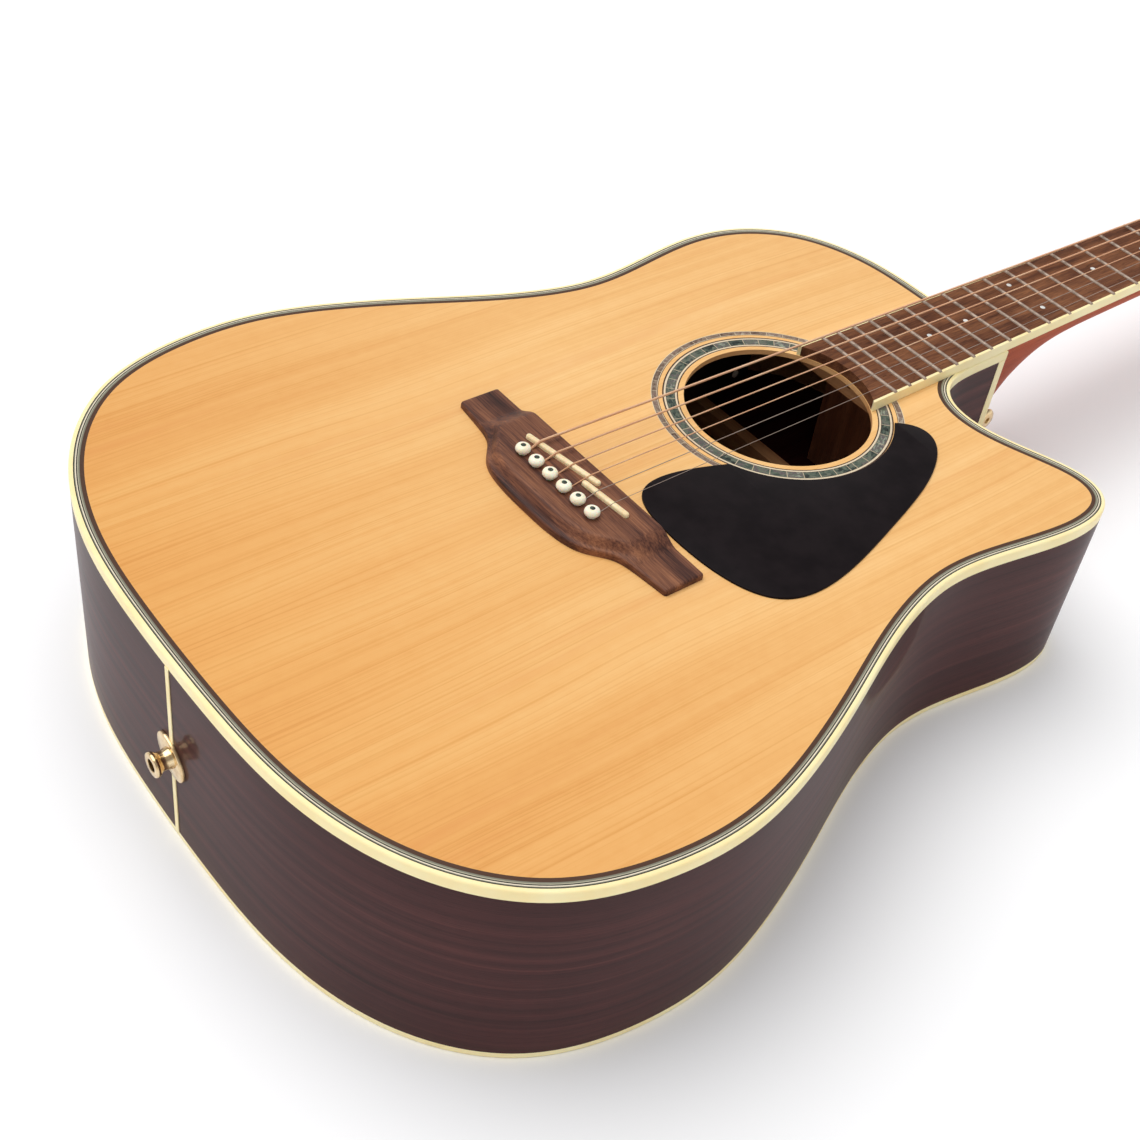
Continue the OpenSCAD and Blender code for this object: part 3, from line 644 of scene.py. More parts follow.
def spruce():
    """Book-matched top: fine growth lines, broad soft bands and a few amber streaks"""
    material, tree, shader = principled("spruce_top", Coat_Weight=0.25, Coat_Roughness=0.2,
                                        Specular_IOR_Level=0.3)
    place = coordinates(tree, mirror_x=True)
    sway = noise(tree, place, (90, 260, 90), 1.0)
    parts = axes(tree, place)
    swayed = math_node(tree, "ADD", parts["X"], times(tree, sway, 0.012))
    place = node(tree, "CombineXYZ", {"X": swayed, "Y": parts["Y"]}).outputs["Vector"]
    lines = noise(tree, place, (1.15, 420, 1), 2.0, 0.6)
    lines_soft = noise(tree, place, (4.5, 520, 1), 2.0, 0.6, shift=5.1)
    bands = noise(tree, place, (34, 500, 1), 2.0, 0.5, shift=2.7)
    amber = noise(tree, place, (16, 300, 1), 3.0, 0.5, shift=8.4)
    fleck = noise(tree, place, (5, 9, 1), 2.0, 0.6, shift=4.4)
    total = weighted(tree, (bands, 0.65), (lines_soft, 0.2), (fleck, 0.15))
    color = ramp(tree, total, toned([
        (0.34, 233, 177, 108), (0.44, 238, 186, 118), (0.54, 242, 193, 127),
        (0.66, 245, 201, 138)]))
    growth = ramp(tree, lines, toned([
        (0.28, 244, 234, 216), (0.5, 254, 251, 247), (0.7, 255, 255, 255)]))
    color = mix(tree, 1.0, color, growth, "MULTIPLY")
    streak = ramp(tree, amber, [(0.60, grey(0)), (0.74, grey(0.42))])
    color = mix(tree, streak, color, srgb(228, 162, 94))
    # Painted shade: warmer and darker towards the tail
    depth = node(tree, "MapRange", {"Value": parts["Y"], "From Min": -0.22,
                                    "From Max": 0.06, "To Min": 1.0, "To Max": 0.0})
    color = mix(tree, depth.outputs["Result"], color,
                mix(tree, 1.0, color, srgb(240, 218, 178), "MULTIPLY"))
    put(tree, shader.inputs["Base Color"], color)
    uneven_polish(tree, shader, lines, (0.34, 0.44))
    bump(tree, shader, lines, 0.000008)
    return material


SPRUCE = spruce()
HOLE_EDGE = wood("spruce_edge", [
    (0.35, 214, 150, 92), (0.65, 240, 190, 130)], fine=(0.6, 40),
    rough=(0.5, 0.6))
DARK_GLOSSY = dict(fine=(0.6, 150), cloud=70, fine_share=0.4, pores=0.3, rough=(0.4, 0.5),
                   coat=0.22, coat_rough=0.06, relief=0.000005, spec=0.05)
DARK_RED = [(0.34, 46, 20, 20), (0.46, 62, 29, 29), (0.56, 74, 36, 35), (0.66, 92, 48, 45)]
ROSEWOOD = wood("rosewood_sides", DARK_RED, uv=True, band=(5, 700), **DARK_GLOSSY)
ROSEWOOD_BACK = wood("rosewood_back", DARK_RED, band=(8, 700), book=True, **DARK_GLOSSY)
INNER_SIDE = wood("side_inside", [
    (0.34, 60, 36, 30), (0.66, 104, 68, 56)], uv=True, fine=(0.7, 90),
    band=(6, 300), pores=0.3, rough=(0.6, 0.75), relief=0.00003)
BOARD_WOOD = wood("fingerboard_wood", [
    (0.34, 58, 32, 21), (0.46, 98, 58, 38), (0.58, 128, 82, 54),
    (0.68, 158, 106, 70)], fine=(0.5, 26), band=(5, 110), cloud=40, fine_share=0.45,
    pores=0.5, rough=(0.5, 0.65), relief=0.00003, spec=0.12)
BRIDGE_WOOD = wood("bridge_wood", [
    (0.33, 40, 24, 21), (0.42, 76, 45, 36), (0.5, 106, 66, 49),
    (0.6, 138, 90, 64), (0.7, 160, 108, 76)], along=0, fine=(0.8, 22),
    band=(8, 90), cloud=26, fine_share=0.36, pores=0.4, rough=(0.42, 0.58),
    relief=0.00003, spec=0.2)
NECK_WOOD = wood("neck_wood", [
    (0.34, 140, 56, 30), (0.5, 168, 74, 42), (0.66, 190, 94, 56)],
    fine=(0.6, 30), band=(8, 220), cloud=50, fine_share=0.42, pores=0.3,
    rough=(0.4, 0.5), coat=0.08, coat_rough=0.12, relief=0.00001, spec=0.06)
HEAD_WOOD = wood("headstock_face", [
    (0.34, 30, 14, 14), (0.5, 52, 26, 24), (0.66, 82, 46, 38)],
    fine=(0.6, 60), band=(6, 300), fine_share=0.4, pores=0.35, rough=(0.35, 0.45),
    coat=0.5, coat_rough=0.06, relief=0.000008, spec=0.1)
INNER_WOOD = wood("inner_wood", [
    (0.34, 178, 118, 76), (0.66, 212, 158, 108)], along=0, fine=(0.8, 60),
    band=(6, 200), rough=(0.55, 0.7), relief=0.00005)
BLOCK_WOOD = wood("block_wood", [
    (0.34, 120, 70, 48), (0.66, 170, 112, 80)], along=2, fine=(0.6, 30),
    band=(6, 120), pores=0.4, rough=(0.55, 0.7), relief=0.00006)
CREAM = moulded("cream_plastic", (255, 240, 188), (253, 232, 172),
                rough=(0.3, 0.4), size=30, coat=0.12, spec=0.2, scatter=0.05)
IVORY = moulded("bone", (252, 246, 226), (244, 234, 204), rough=(0.25, 0.4),
                size=5, grain=0.3, scatter=0.2)
SADDLE = moulded("saddle_bone", (246, 226, 182), (232, 206, 158),
                 rough=(0.35, 0.5), size=4, grain=0.3, scatter=0.15)
DOT = moulded("dark_dot", (46, 50, 40), (70, 84, 72), rough=(0.2, 0.3), size=1.2)
PEARL_DOT = moulded("pearl_dot", (244, 240, 232), (206, 214, 214),
                    rough=(0.15, 0.25), size=1.5, coat=0.5)
GUARD_BLACK = moulded("guard_black", (22, 17, 19), (28, 22, 24),
                      rough=(0.3, 0.36), size=14, grain=0.5, relief=0.000002, spec=0.06)
FRET_METAL = moulded("fret_metal", (176, 156, 140), (152, 134, 120),
                     rough=(0.45, 0.55), metallic=0.5, size=3)
ROD_STEEL = moulded("rod_steel", (120, 122, 128), (80, 82, 88), rough=(0.35, 0.5),
                    metallic=1.0, size=4)
GOLD = moulded("gold_metal", (238, 214, 172), (216, 184, 136), rough=(0.14, 0.26),
               metallic=1.0, size=5)
PLAIN_STEEL = moulded("plain_string", (172, 154, 140), (150, 132, 120),
                      rough=(0.42, 0.5), metallic=0.35, size=8)
BRASS = moulded("pickup_brass", (196, 158, 88), (160, 124, 66), rough=(0.3, 0.45),
                metallic=1.0)
PREAMP = moulded("preamp_black", (26, 26, 28), (34, 34, 37), rough=(0.42, 0.55),
                 size=5, grain=0.25, relief=0.00003)
KNOB = moulded("knob_black", (32, 32, 35), (44, 44, 48), rough=(0.35, 0.5),
               size=4, grain=0.3, relief=0.00002)
WHITE_MARK = moulded("white_mark", (232, 232, 226), (214, 214, 208),
                     rough=(0.4, 0.5), size=2)
BUTTON_GREY = moulded("button_grey", (178, 180, 182), (158, 160, 164),
                      rough=(0.35, 0.5), size=2)
BATTERY = moulded("battery_case", (78, 86, 92), (60, 66, 72), rough=(0.3, 0.42),
                  size=6)
SCREW_STEEL = moulded("screw_steel", (222, 222, 218), (190, 190, 186),
                      rough=(0.2, 0.35), metallic=1.0, size=2)


def wound_metal():
    """Round bronze wire wound on a core: its turns show as fine rings, with painted shade in the
    grooves between them
    """
    material, tree, shader = principled("wound_bronze", Metallic=0.35, Roughness=0.4)
    place = coordinates(tree, True)
    turns = node(tree, "TexWave", {"Vector": stretched(tree, place, (1.0, 50, 1)),
                                   "Scale": 1 / 1.2, "Distortion": 0.0},
                 bands_direction="X").outputs["Fac"]
    drift = noise(tree, place, (30, 3, 1), 2.0)
    color = mix(tree, ramp(tree, drift, [(0.35, grey(0)), (0.65, grey(1))]),
                srgb(240, 178, 134), srgb(250, 206, 166))
    # Painted shade: darker in the grooves between the wire's turns
    shade = ramp(tree, turns, [(0.0, grey(0.7)), (0.4, grey(1))])
    put(tree, shader.inputs["Base Color"], mix(tree, 1.0, color, shade, "MULTIPLY"))
    bump(tree, shader, turns, 0.00012)
    return material


WOUND = wound_metal()
BLACK, WHITE = (34, 30, 28), (244, 232, 208)
DARK_LINE, ROSE_WHITE = (84, 60, 46), (232, 214, 184)
BROWN_LINE, GREY_GREEN, PALE_LINE = (86, 62, 50), (132, 130, 114), (176, 172, 150)
SHELL_GREY = [(28, 30, 30), (58, 66, 61), (84, 96, 84), (108, 112, 98), (92, 78, 84),
              (152, 162, 142)]
SHELL_BROWN = [(70, 52, 44), (104, 84, 72), (128, 108, 92), (146, 130, 114), (120, 92, 84),
               (178, 168, 150)]
PURFLING = striped("purfling_lines", PURFLING_W, [
    (0.0, BLACK), (0.12, GREY_GREEN), (0.24, WHITE), (0.38, BLACK), (0.52, PALE_LINE),
    (0.66, GREY_GREEN), (0.84, BROWN_LINE)])
INNER_RING = striped("rosette_inner", 8.4, [
    (0.0, DARK_LINE), (0.075, ROSE_WHITE), (0.19, DARK_LINE), (0.78, ROSE_WHITE),
    (0.9, DARK_LINE)], shell=(0.22, 0.755), tones=SHELL_GREY)
OUTER_RING = striped("rosette_outer", 3.8, [
    (0.0, DARK_LINE), (0.1, ROSE_WHITE), (0.18, DARK_LINE), (0.9, ROSE_WHITE)],
    shell=(0.18, 0.86), tones=SHELL_BROWN)

# ---- Body ----
EDGE_STEPS = 12
whole_edge = spline(CUTAWAY + LOWER + [tuple(p) for p in mirrored(LOWER)] + SHOULDER,
                    EDGE_STEPS)[:-1]
# Points on the straight runs beside the square corner aren't needed
EDGE = [p for i, p in enumerate(whole_edge) if i == 0 or (p - whole_edge[0]).length > 10]


def edge_at(d):
    return offset(EDGE, d)


def swept_edge(section, heights):
    """Rings of points for a strip round the body. section is the distances from the
    edge and what heights() makes a z of."""
    loops = [edge_at(d) for d, _ in section]
    return [[(loop[i][0], loop[i][1], heights(loop[i][1], h))
             for loop, (_, h) in zip(loops, section)] for i in range(len(EDGE))]


def string_x(i, gap=STRING_GAP):
    return (i - 2.5) * gap


def pin_hole(i):
    """Keyhole for bridge pin i and its string"""
    x = string_x(i)
    w = STRING_R[i] + 0.1
    start = asin(w / PIN_HOLE_R)
    points = []
    for k in range(21):
        a = QUARTER + start + (tau - 2 * start) * k / 20
        points.append(Vector((x + PIN_HOLE_R * cos(a), PIN_Y + PIN_HOLE_R * sin(a))))
    far = PIN_Y + PIN_HOLE_R + 2 * STRING_R[i] + 0.3
    return points + [Vector((x + w, far)), Vector((x - w, far))]


RIM_SIDES = 144


def rim(r):
    return circle(r, RIM_SIDES, (0, HOLE_Y))


def make_soundboard():
    s = Shape()
    holes = [pin_hole(i) for i in range(6)]
    inner, outer = edge_at(-SIDE_T - PURFLING_W), edge_at(-SIDE_T)
    (a, b), (c, d) = ROSETTE_RINGS
    s.fill(inner, [rim(d)] + holes, 0)
    s.wall(inner, 0, -PURFLING_T)
    s.ring(inner, outer, -PURFLING_T)
    s.wall(outer, -PURFLING_T, -PLATE_T)
    s.fill(outer, [rim(HOLE_R)] + holes, -PLATE_T)
    for hole in holes:
        s.wall(hole, 0, -PLATE_T)
    for r0, r1, z in ((d, c, -ROSETTE_T), (c, b, 0), (b, a, -ROSETTE_T), (a, HOLE_R, 0)):
        s.ring(rim(r0), rim(r1), z)
    for r in (a, b, c, d):
        s.wall(rim(r), 0, -ROSETTE_T)
    s.wall(rim(HOLE_R), 0, -PLATE_T, paint=1)
    piece("spruce_soundboard", s, TOP, [SPRUCE, HOLE_EDGE], ["soundboard"])


def make_back():
    s = Shape()
    outer = edge_at(-SIDE_T)
    faces = [[(p[0], p[1], back_at(p[1], up)) for p in outer] for up in (0, PLATE_T)]
    triangles = tessellate_polygon([[Vector((p[0], p[1], 0)) for p in outer]])
    for face in faces:
        first = s.add_points(face)
        for t in triangles:
            s.add_face([first + k for k in t])
    s.loft(faces, caps=False)
    piece("rosewood_back_plate", s, TOP, [ROSEWOOD_BACK], ["back"])


def crossings(a, b, values):
    """The shares of the way from a to b at which the values lie"""
    return [(v - a) / (b - a) for v in values if min(a, b) < v < max(a, b)]


def make_sides():
    """The bent sides: a wall round the edge, with openings for the preamp, the jack,
    the tail strip and the heel strip"""
    along = Vector((-sin(PANEL_TURN), cos(PANEL_TURN)))
    centre = Vector(PANEL_AT[:2])
    outer, inner = edge_at(0), edge_at(-SIDE_T)
    # Pairs of an outer and an inner point, with extra ones where an opening starts or ends
    marks = []
    for i, p in enumerate(outer):
        j = (i + 1) % len(outer)
        q = outer[j]
        cuts = [0.0]
        if p[0] < BASS_SIDE_X and q[0] < BASS_SIDE_X and p[1] > 60:
            a, b = (p - centre).dot(along), (q - centre).dot(along)
            cuts += crossings(a, b, (-PANEL_L / 2, PANEL_L / 2))
        if p[1] < NEAR_TAIL_Y and abs(p[0]) < 60:
            cuts += crossings(p[0], q[0], (-JACK_HALF, -TAIL_STRIP_HALF, TAIL_STRIP_HALF,
                                           JACK_HALF))
        if p[1] > 270 and p[0] > 25:
            cuts += crossings(p[1], q[1], [HEEL_STRIP_Y])
        if p[1] > 280 and q[0] > 15:
            cuts += crossings(p[0], q[0], [HEEL_STRIP_X])
        for t in sorted(cuts):
            marks.append((between(p, q, t), between(inner[i], inner[j], t)))
    count = len(marks)
    panel_z = PANEL_AT[2]
    levels = [-TOP_BINDING_H, panel_z + PANEL_H / 2, JACK_Z + JACK_HALF, JACK_Z - JACK_HALF,
              panel_z - PANEL_H / 2]
    rows = len(levels) + 1

    def height(row, p):
        return levels[row] if row < len(levels) else back_at(p[1], BACK_BINDING_H)

    def is_open(k, row):
        """Whether the cell of the wall after mark k and below level row is left out"""
        m = (marks[k % count][0] + marks[(k + 1) % count][0]) / 2
        if m[1] < NEAR_TAIL_Y and abs(m[0]) < TAIL_STRIP_HALF:
            return True
        if m[1] > HEEL_STRIP_Y and m[0] > HEEL_STRIP_X:
            return True
        if m[1] < NEAR_TAIL_Y and abs(m[0]) < JACK_HALF and row == 2:
            return True
        u = (m - centre).dot(along)
        return m[0] < BASS_SIDE_X and abs(u) < PANEL_L / 2 and 1 <= row <= 3

    s = Shape()
    lengths = [0.0]
    for k in range(count):
        step = (marks[(k + 1) % count][0] - marks[k][0]).length * 0.001
        lengths.append(lengths[-1] + step)
    # Points of the outer skin, then of the inner one
    for side in (0, 1):
        s.add_points([(m[side][0], m[side][1], height(r, m[0])) for m in marks
                      for r in range(rows)])

    def index(k, row, side):
        return (k % count) * rows + row + side * count * rows

    def add_edge(a, b):
        s.add_face([index(*a, 0), index(*b, 0), index(*b, 1), index(*a, 1)])

    for k in range(count):
        for row in range(rows - 1):
            if is_open(k, row):
                continue
            v0 = height(row, marks[k][0]) * 0.001
            v1 = height(row + 1, marks[k][0]) * 0.001
            uv = [(lengths[k], v0), (lengths[k + 1], v0), (lengths[k + 1], v1), (lengths[k], v1)]
            for side in (0, 1):
                s.add_face([index(k, row, side), index(k + 1, row, side),
                            index(k + 1, row + 1, side), index(k, row + 1, side)], side, uv)
            if row == 0 or is_open(k, row - 1):
                add_edge((k, row), (k + 1, row))
            if row == rows - 2 or is_open(k, row + 1):
                add_edge((k, row + 1), (k + 1, row + 1))
            if is_open(k - 1, row):
                add_edge((k, row), (k, row + 1))
            if is_open(k + 1, row):
                add_edge((k + 1, row), (k + 1, row + 1))
    piece("bent_sides", s, TOP, [ROSEWOOD, INNER_SIDE], ["sides"], sharp=50)


def make_binding():
    """Cream strips: round the top, round the back, down the tail and down the heel"""
    s = Shape()
    curve = []
    for a in (0, 22, 45, 67, 90):
        a = radians(a)
        curve.append((-BINDING_ROUND * (1 - sin(a)), -BINDING_ROUND * (1 - cos(a))))
    top = [(-SIDE_T, -TOP_BINDING_H), (-SIDE_T, 0)] + curve + [(0, -TOP_BINDING_H)]
    s.loft(swept_edge(top, lambda y, h: h), loop=True)
    low = [(-SIDE_T, BACK_BINDING_H), (-SIDE_T, 0)] + [(d, -h) for d, h in curve] \
        + [(0, BACK_BINDING_H)]
    s.loft(swept_edge(low, back_at), loop=True)
    w = TAIL_STRIP_HALF
    tail = [(-w, -0.25), (w, -0.25), (w, SIDE_T), (-w, SIDE_T)]
    heel = [(-8, -SIDE_T), (-SIDE_T, -SIDE_T), (-SIDE_T, -6), (0.2, -6), (0.2, -0.8),
            (-0.1, -0.1), (-0.8, 0.2), (-8, 0.2)]
    for loop, x, y in ((tail, 0, TAIL_Y), (heel, *CUTAWAY[0])):
        loop = [(x + p[0], y + p[1]) for p in loop]
        s.loft([[(*p, -TOP_BINDING_H) for p in loop],
                [(*p, back_at(p[1], BACK_BINDING_H)) for p in loop]])
    piece("cream_binding", s, TOP, [CREAM], ["body_binding"])


def make_purfling():
    s = Shape()
    section = [(-SIDE_T, 0), (-SIDE_T - PURFLING_W, 0), (-SIDE_T - PURFLING_W, -PURFLING_T),
               (-SIDE_T, -PURFLING_T)]
    s.loft(swept_edge(section, lambda y, h: h), loop=True)
    piece("purfling_strip", s, TOP, [PURFLING], ["purfling"])


def make_rosette():
    s = Shape()
    for paint, (a, b) in enumerate(ROSETTE_RINGS):
        section = [(rim(a), 0), (rim(b), 0), (rim(b), -ROSETTE_T), (rim(a), -ROSETTE_T)]
        rings = [[(loop[i][0], loop[i][1], z) for loop, z in section]
                 for i in range(RIM_SIDES)]
        s.loft(rings, loop=True, paint=paint)
    piece("shell_rosette", s, TOP, [INNER_RING, OUTER_RING], ["rosette"])


def make_pickguard():
    """The guard's curve, cut back by the circle round the rosette"""
    curve = spline(GUARD + [GUARD[0]], 10)[:-1]
    r = GUARD_INNER_R
    centre = Vector((0, HOLE_Y))

    def is_cut(p):
        return (p - centre).length < r

    first = next(i for i in range(len(curve)) if is_cut(curve[i]) and not is_cut(curve[i - 1]))
    curve = curve[first:] + curve[:first]
    kept = [p for p in curve if not is_cut(p)]
    hidden = [p for p in curve if is_cut(p)]

    def on_circle(p, q):
        for k in range(200):
            m = between(p, q, k / 200)
            if not is_cut(m):
                return m
        return q

    end = on_circle(hidden[0], kept[-1]) - centre
    start = on_circle(hidden[-1], kept[0]) - centre
    a0 = atan2(end[1], end[0])
    a1 = atan2(start[1], start[0])
    turn = (a1 - a0 + pi) % tau - pi
    arc = [centre + r * Vector((cos(a0 + turn * k / 60), sin(a0 + turn * k / 60)))
           for k in range(61)]
    s = Shape().slab(kept + arc, 0, GUARD_T, top=0.45)
    piece("black_pickguard", s, TOP, [GUARD_BLACK], ["pickguard"])


# ---- Bridge ----
def wing_rise(x):
    """Height of the bridge at x: low wings, and a cosine slope up to the middle"""
    share = min(1, max(0, (WING_START - abs(x)) / WING_RUN))
    return WING_H + (BRIDGE_H - WING_H) * (1 - cos(pi * share)) / 2


def belly(x):
    """The back edge of the bridge at x"""
    curve = spline(BELLY, 12)
    for p, q in zip(curve, curve[1:]):
        if q[0] <= abs(x) <= p[0]:
            return p[1] + (q[1] - p[1]) * (p[0] - abs(x)) / (p[0] - q[0])
    return BELLY[-1][1]


def bridge_ring(x, inset):
    """Outline of the bridge's section at x, taken in by inset at its top and sides"""
    h = wing_rise(x) - inset
    front, rear = BRIDGE_FRONT - inset, belly(x) + inset
    low = min(h, BELLY_LOW - inset)
    r, rear_r = min(1.7, h * 0.45), min(1.4, low * 0.45)
    ring = [(x, front, 0)]
    for k in range(7):
        a = radians(15) * k
        ring.append((x, front - r + r * cos(a), h - r + r * sin(a)))
    for k in range(1, 6):
        ring.append((x, between(front - r, rear + BELLY_RUN, k / 6), h))
    for k in range(9):
        t = k / 8
        rise = between(h, low, (1 - cos(pi * t ** 1.3)) / 2)
        ring.append((x, between(rear + BELLY_RUN, rear + rear_r, t), rise))
    for k in range(1, 7):
        a = radians(15) * (6 - k)
        ring.append((x, rear + rear_r - rear_r * cos(a), low - rear_r + rear_r * sin(a)))
    ring.append((x, rear, 0))
    return ring


def stadium(p, q, w, grow=0.0):
    """Bar with round ends in plan, from p to q"""
    p, q = Vector(p), Vector(q)
    d = (q - p).normalized()
    r = w / 2
    start = atan2(d[1], d[0])
    loop = []
    for centre, turn in ((q - d * r, start), (p + d * r, start + pi)):
        for k in range(9):
            a = turn - pi / 2 + pi * k / 8
            loop.append(centre + (r + grow) * Vector((cos(a), sin(a))))
    return loop


def make_bridge():
    r = 1.3
    ends = [(BRIDGE_HALF - r + r * sin(radians(a)),
             r * (1 - cos(radians(a)))) for a in (90, 67, 45, 22, 0)]
    step = 1.5
    stations = [(-x, inset) for x, inset in ends]
    x = -BRIDGE_HALF + r + step
    while x < BRIDGE_HALF - r - 1:
        stations.append((x, 0.0))
        x += step
    stations += ends[::-1]
    s = Shape().loft([bridge_ring(x, inset) for x, inset in stations])
    cuts = Shape()
    above = 15
    for i in range(6):
        cuts.prism(pin_hole(i), -2, above)
    for a, b in (LONG_SADDLE, SHORT_SADDLE):
        cuts.prism(stadium(a, b, SADDLE_W, 0.05), SADDLE_BOTTOM - 1.2, above)
    piece("carved_bridge", s, TOP, [BRIDGE_WOOD], ["bridge"], cutter=cuts)
    s = Shape()
    for a, b in (LONG_SADDLE, SHORT_SADDLE):
        s.slab(stadium(a, b, SADDLE_W), SADDLE_BOTTOM, SADDLE_TOP, top=1.1, steps=4)
    piece("split_saddle", s, TOP, [SADDLE], ["saddles"])


PIN_SHANK = [(1.2, -11), (1.9, -10.8), (2.45, -9.5), (2.45, 10.2), (2.9, 10.3)]
PIN_HEAD = [(3.55, 10.4), (3.85, 10.9), (3.9, 11.5), (3.75, 12.2), (3.4, 12.8), (2.9, 13.25),
            (2.3, 13.5), (1.35, 13.64)]
PIN_DOT = [(1.3, 13.6), (0.95, 13.66), (0.5, 13.69), (0.2, 13.7)]


def make_pins():
    sides = 40
    dot_start = len(PIN_SHANK) + len(PIN_HEAD) - 1
    for i in range(6):
        s = Shape().lathe(PIN_SHANK + PIN_HEAD + PIN_DOT, sides)
        for f, face in enumerate(s.faces):
            if min(face) >= dot_start * sides:
                s.paints[f] = 1
        node_name = f"bridge_pin_{i + 1}"
        piece(f"ivory_pin_{i + 1}", s, TOP @ move(string_x(i), PIN_Y), [IVORY, DOT],
              [node_name], node_name, sharp=60)


# ---- Neck ----
def heel_depth(y):
    return HEEL_DEPTH * exp(-(max(0, y - JOIN_Y) / HEEL_L) ** 1.35)


def neck_ring(y):
    """Underside of the neck at y, from one edge of the board round to the other"""
    w = half_board(y)
    d = NECK_T + NECK_T_GAIN * (HEAD_Y - y) / (HEAD_Y - JOIN_Y) + heel_depth(y)
    p = 0.8 + 0.6 * min(1, heel_depth(y) / 40)
    ring = []
    for k in range(49):
        a = pi * k / 48
        c = cos(a)
        ring.append((w * copysign(abs(c) ** p, c), y, -d * sin(a) ** 0.92))
    return ring


def head_half(y):
    curve = spline(HEAD, 12)
    for p, q in zip(curve, curve[1:]):
        if p[1] <= y <= q[1]:
            return p[0] + (q[0] - p[0]) * (y - p[1]) / (q[1] - p[1])
    return HEAD[0][0]


def throat_ring(y, t):
    """Section of the headstock's first stretch, from round at t 0 to square at t 1"""
    w = head_half(y)
    deep = 0.92 * (1 - t) + 0.16 * t
    wide = 0.8 * (1 - t) + 0.16 * t
    ring = []
    for k in range(49):
        a = pi * k / 48
        c = cos(a)
        point = Vector((w * copysign(abs(c) ** wide, c), y, -HEAD_T * sin(a) ** deep))
        ring.append(HEAD_FROM_TOP @ point)
    return ring


def tuner_drills(r, z0, z1):
    cuts = Shape()
    for x, y in zip(TUNER_X, TUNER_Y):
        cuts.prism(circle(r, 40, (x, y)), z0, z1)
    return cuts


def head_outline():
    curve = spline(HEAD, 10)
    return curve + mirrored(curve[:-1])


def make_neck():
    ys = [JOIN_Y + 1.5 * k for k in range(40)] + [JOIN_Y + 60 + 10 * k for k in range(30)]
    rings = [neck_ring(y) for y in ys if y < HEAD_Y - 4]
    rings += [throat_ring(THROAT_L * t, t ** 1.5) for t in (0.1, 0.25, 0.4, 0.55, 0.7, 0.85, 1)]
    s = Shape().loft(rings)
    cuts = Shape()
    cuts.prism(ROD_SLOT, -9.7, 0.3)
    strap = TOP.inverted() @ AT_STRAP
    cuts.lathe([(0, -16), (1.8, -16), (1.8, 0), (6.2, 0), (6.2, 20)], 32, matrix=strap)
    piece("mahogany_neck", s, TOP, [NECK_WOOD], ["neck"], sharp=40, cutter=cuts)
    wedge = [(-9, JOIN_Y), (9, JOIN_Y), (12, JOIN_Y - 18), (-12, JOIN_Y - 18)]
    s = Shape().prism(wedge, -75, -PLATE_T - 0.05)
    piece("mahogany_dovetail", s, TOP, [NECK_WOOD])
    outline = [p for p in head_outline() if p[1] >= THROAT_L]
    plate = Shape().slab(outline, -HEAD_T, 0, bottom=1.6)
    piece("mahogany_headstock", plate, ON_HEAD, [NECK_WOOD], sharp=40,
          cutter=tuner_drills(DRILL_R, -HEAD_T - 1, 1))
    face = Shape().slab(head_outline(), 0, VENEER_T, top=0.35)
    piece("headstock_face", face, ON_HEAD, [HEAD_WOOD],
          ["headstock_veneer"], cutter=tuner_drills(DRILL_R, -1, VENEER_T + 1))


def make_frets():
    """Crowned wires with tangs. They reach over the binding, as in the photo."""
    s = Shape()
    half = [(1.1, 0), (1.0, 0.38), (0.82, 0.68), (0.5, 0.9), (0.2, 0.99)]
    crown = [(-a, b) for a, b in half] + half[::-1]
    crown += [(0.3, 0), (0.3, -1.9), (-0.3, -1.9), (-0.3, 0)]
    for n in range(1, FRETS + 1):
        y = fret_y(n)
        w, tang_w = half_board(y) - 0.15, half_board(y) - BINDING_W - 0.1
        # Distance from the middle, and the shares of the crown's height and tang's depth
        ends = [(w, 0.3, 0), (w - 0.3, 0.75, 0), (w - 0.75, 1, 0), (tang_w, 1, 0),
                (tang_w - 0.02, 1, 1)]
        rings = []
        for x, high, deep in [(-x, high, deep) for x, high, deep in ends] + ends[::-1]:
            rings.append([(x, y + a, BOARD_T + b * (FRET_H * high if b > 0 else deep))
                          for a, b in crown])
        s.loft(rings)
    piece("fret_wires", s, TOP, [FRET_METAL], ["frets"], sharp=40)


# ---- Strings ----
def winding_r(i):
    return WAIST_R + 0.05 + STRING_R[i]


def saddle_y(i):
    (x0, y0), (x1, y1) = LONG_SADDLE if i < 4 else SHORT_SADDLE
    return y0 + (string_x(i) - x0) * (y1 - y0) / (x1 - x0)


def string_path(i):
    r = STRING_R[i]
    x, nut_x = string_x(i), string_x(i, NUT_GAP)
    y = PIN_Y + PIN_HOLE_R + r + 0.15
    inward = 1 if TUNER_X[i] < 0 else -1
    post = Vector((TUNER_X[i] + inward * (winding_r(i) + 2 * r + 0.35), TUNER_Y[i],
                   WINDING_Z + 2 * r * TURNS))
    return [(x, y, -5.4), (x, y, BRIDGE_H - 0.6), (x, saddle_y(i), SADDLE_TOP + r + 0.03),
            (nut_x, SCALE + 1, NUT_SLOT + r + 0.05), (nut_x, HEAD_Y, NUT_SLOT + r + 0.02),
            HEAD_FROM_TOP @ post]


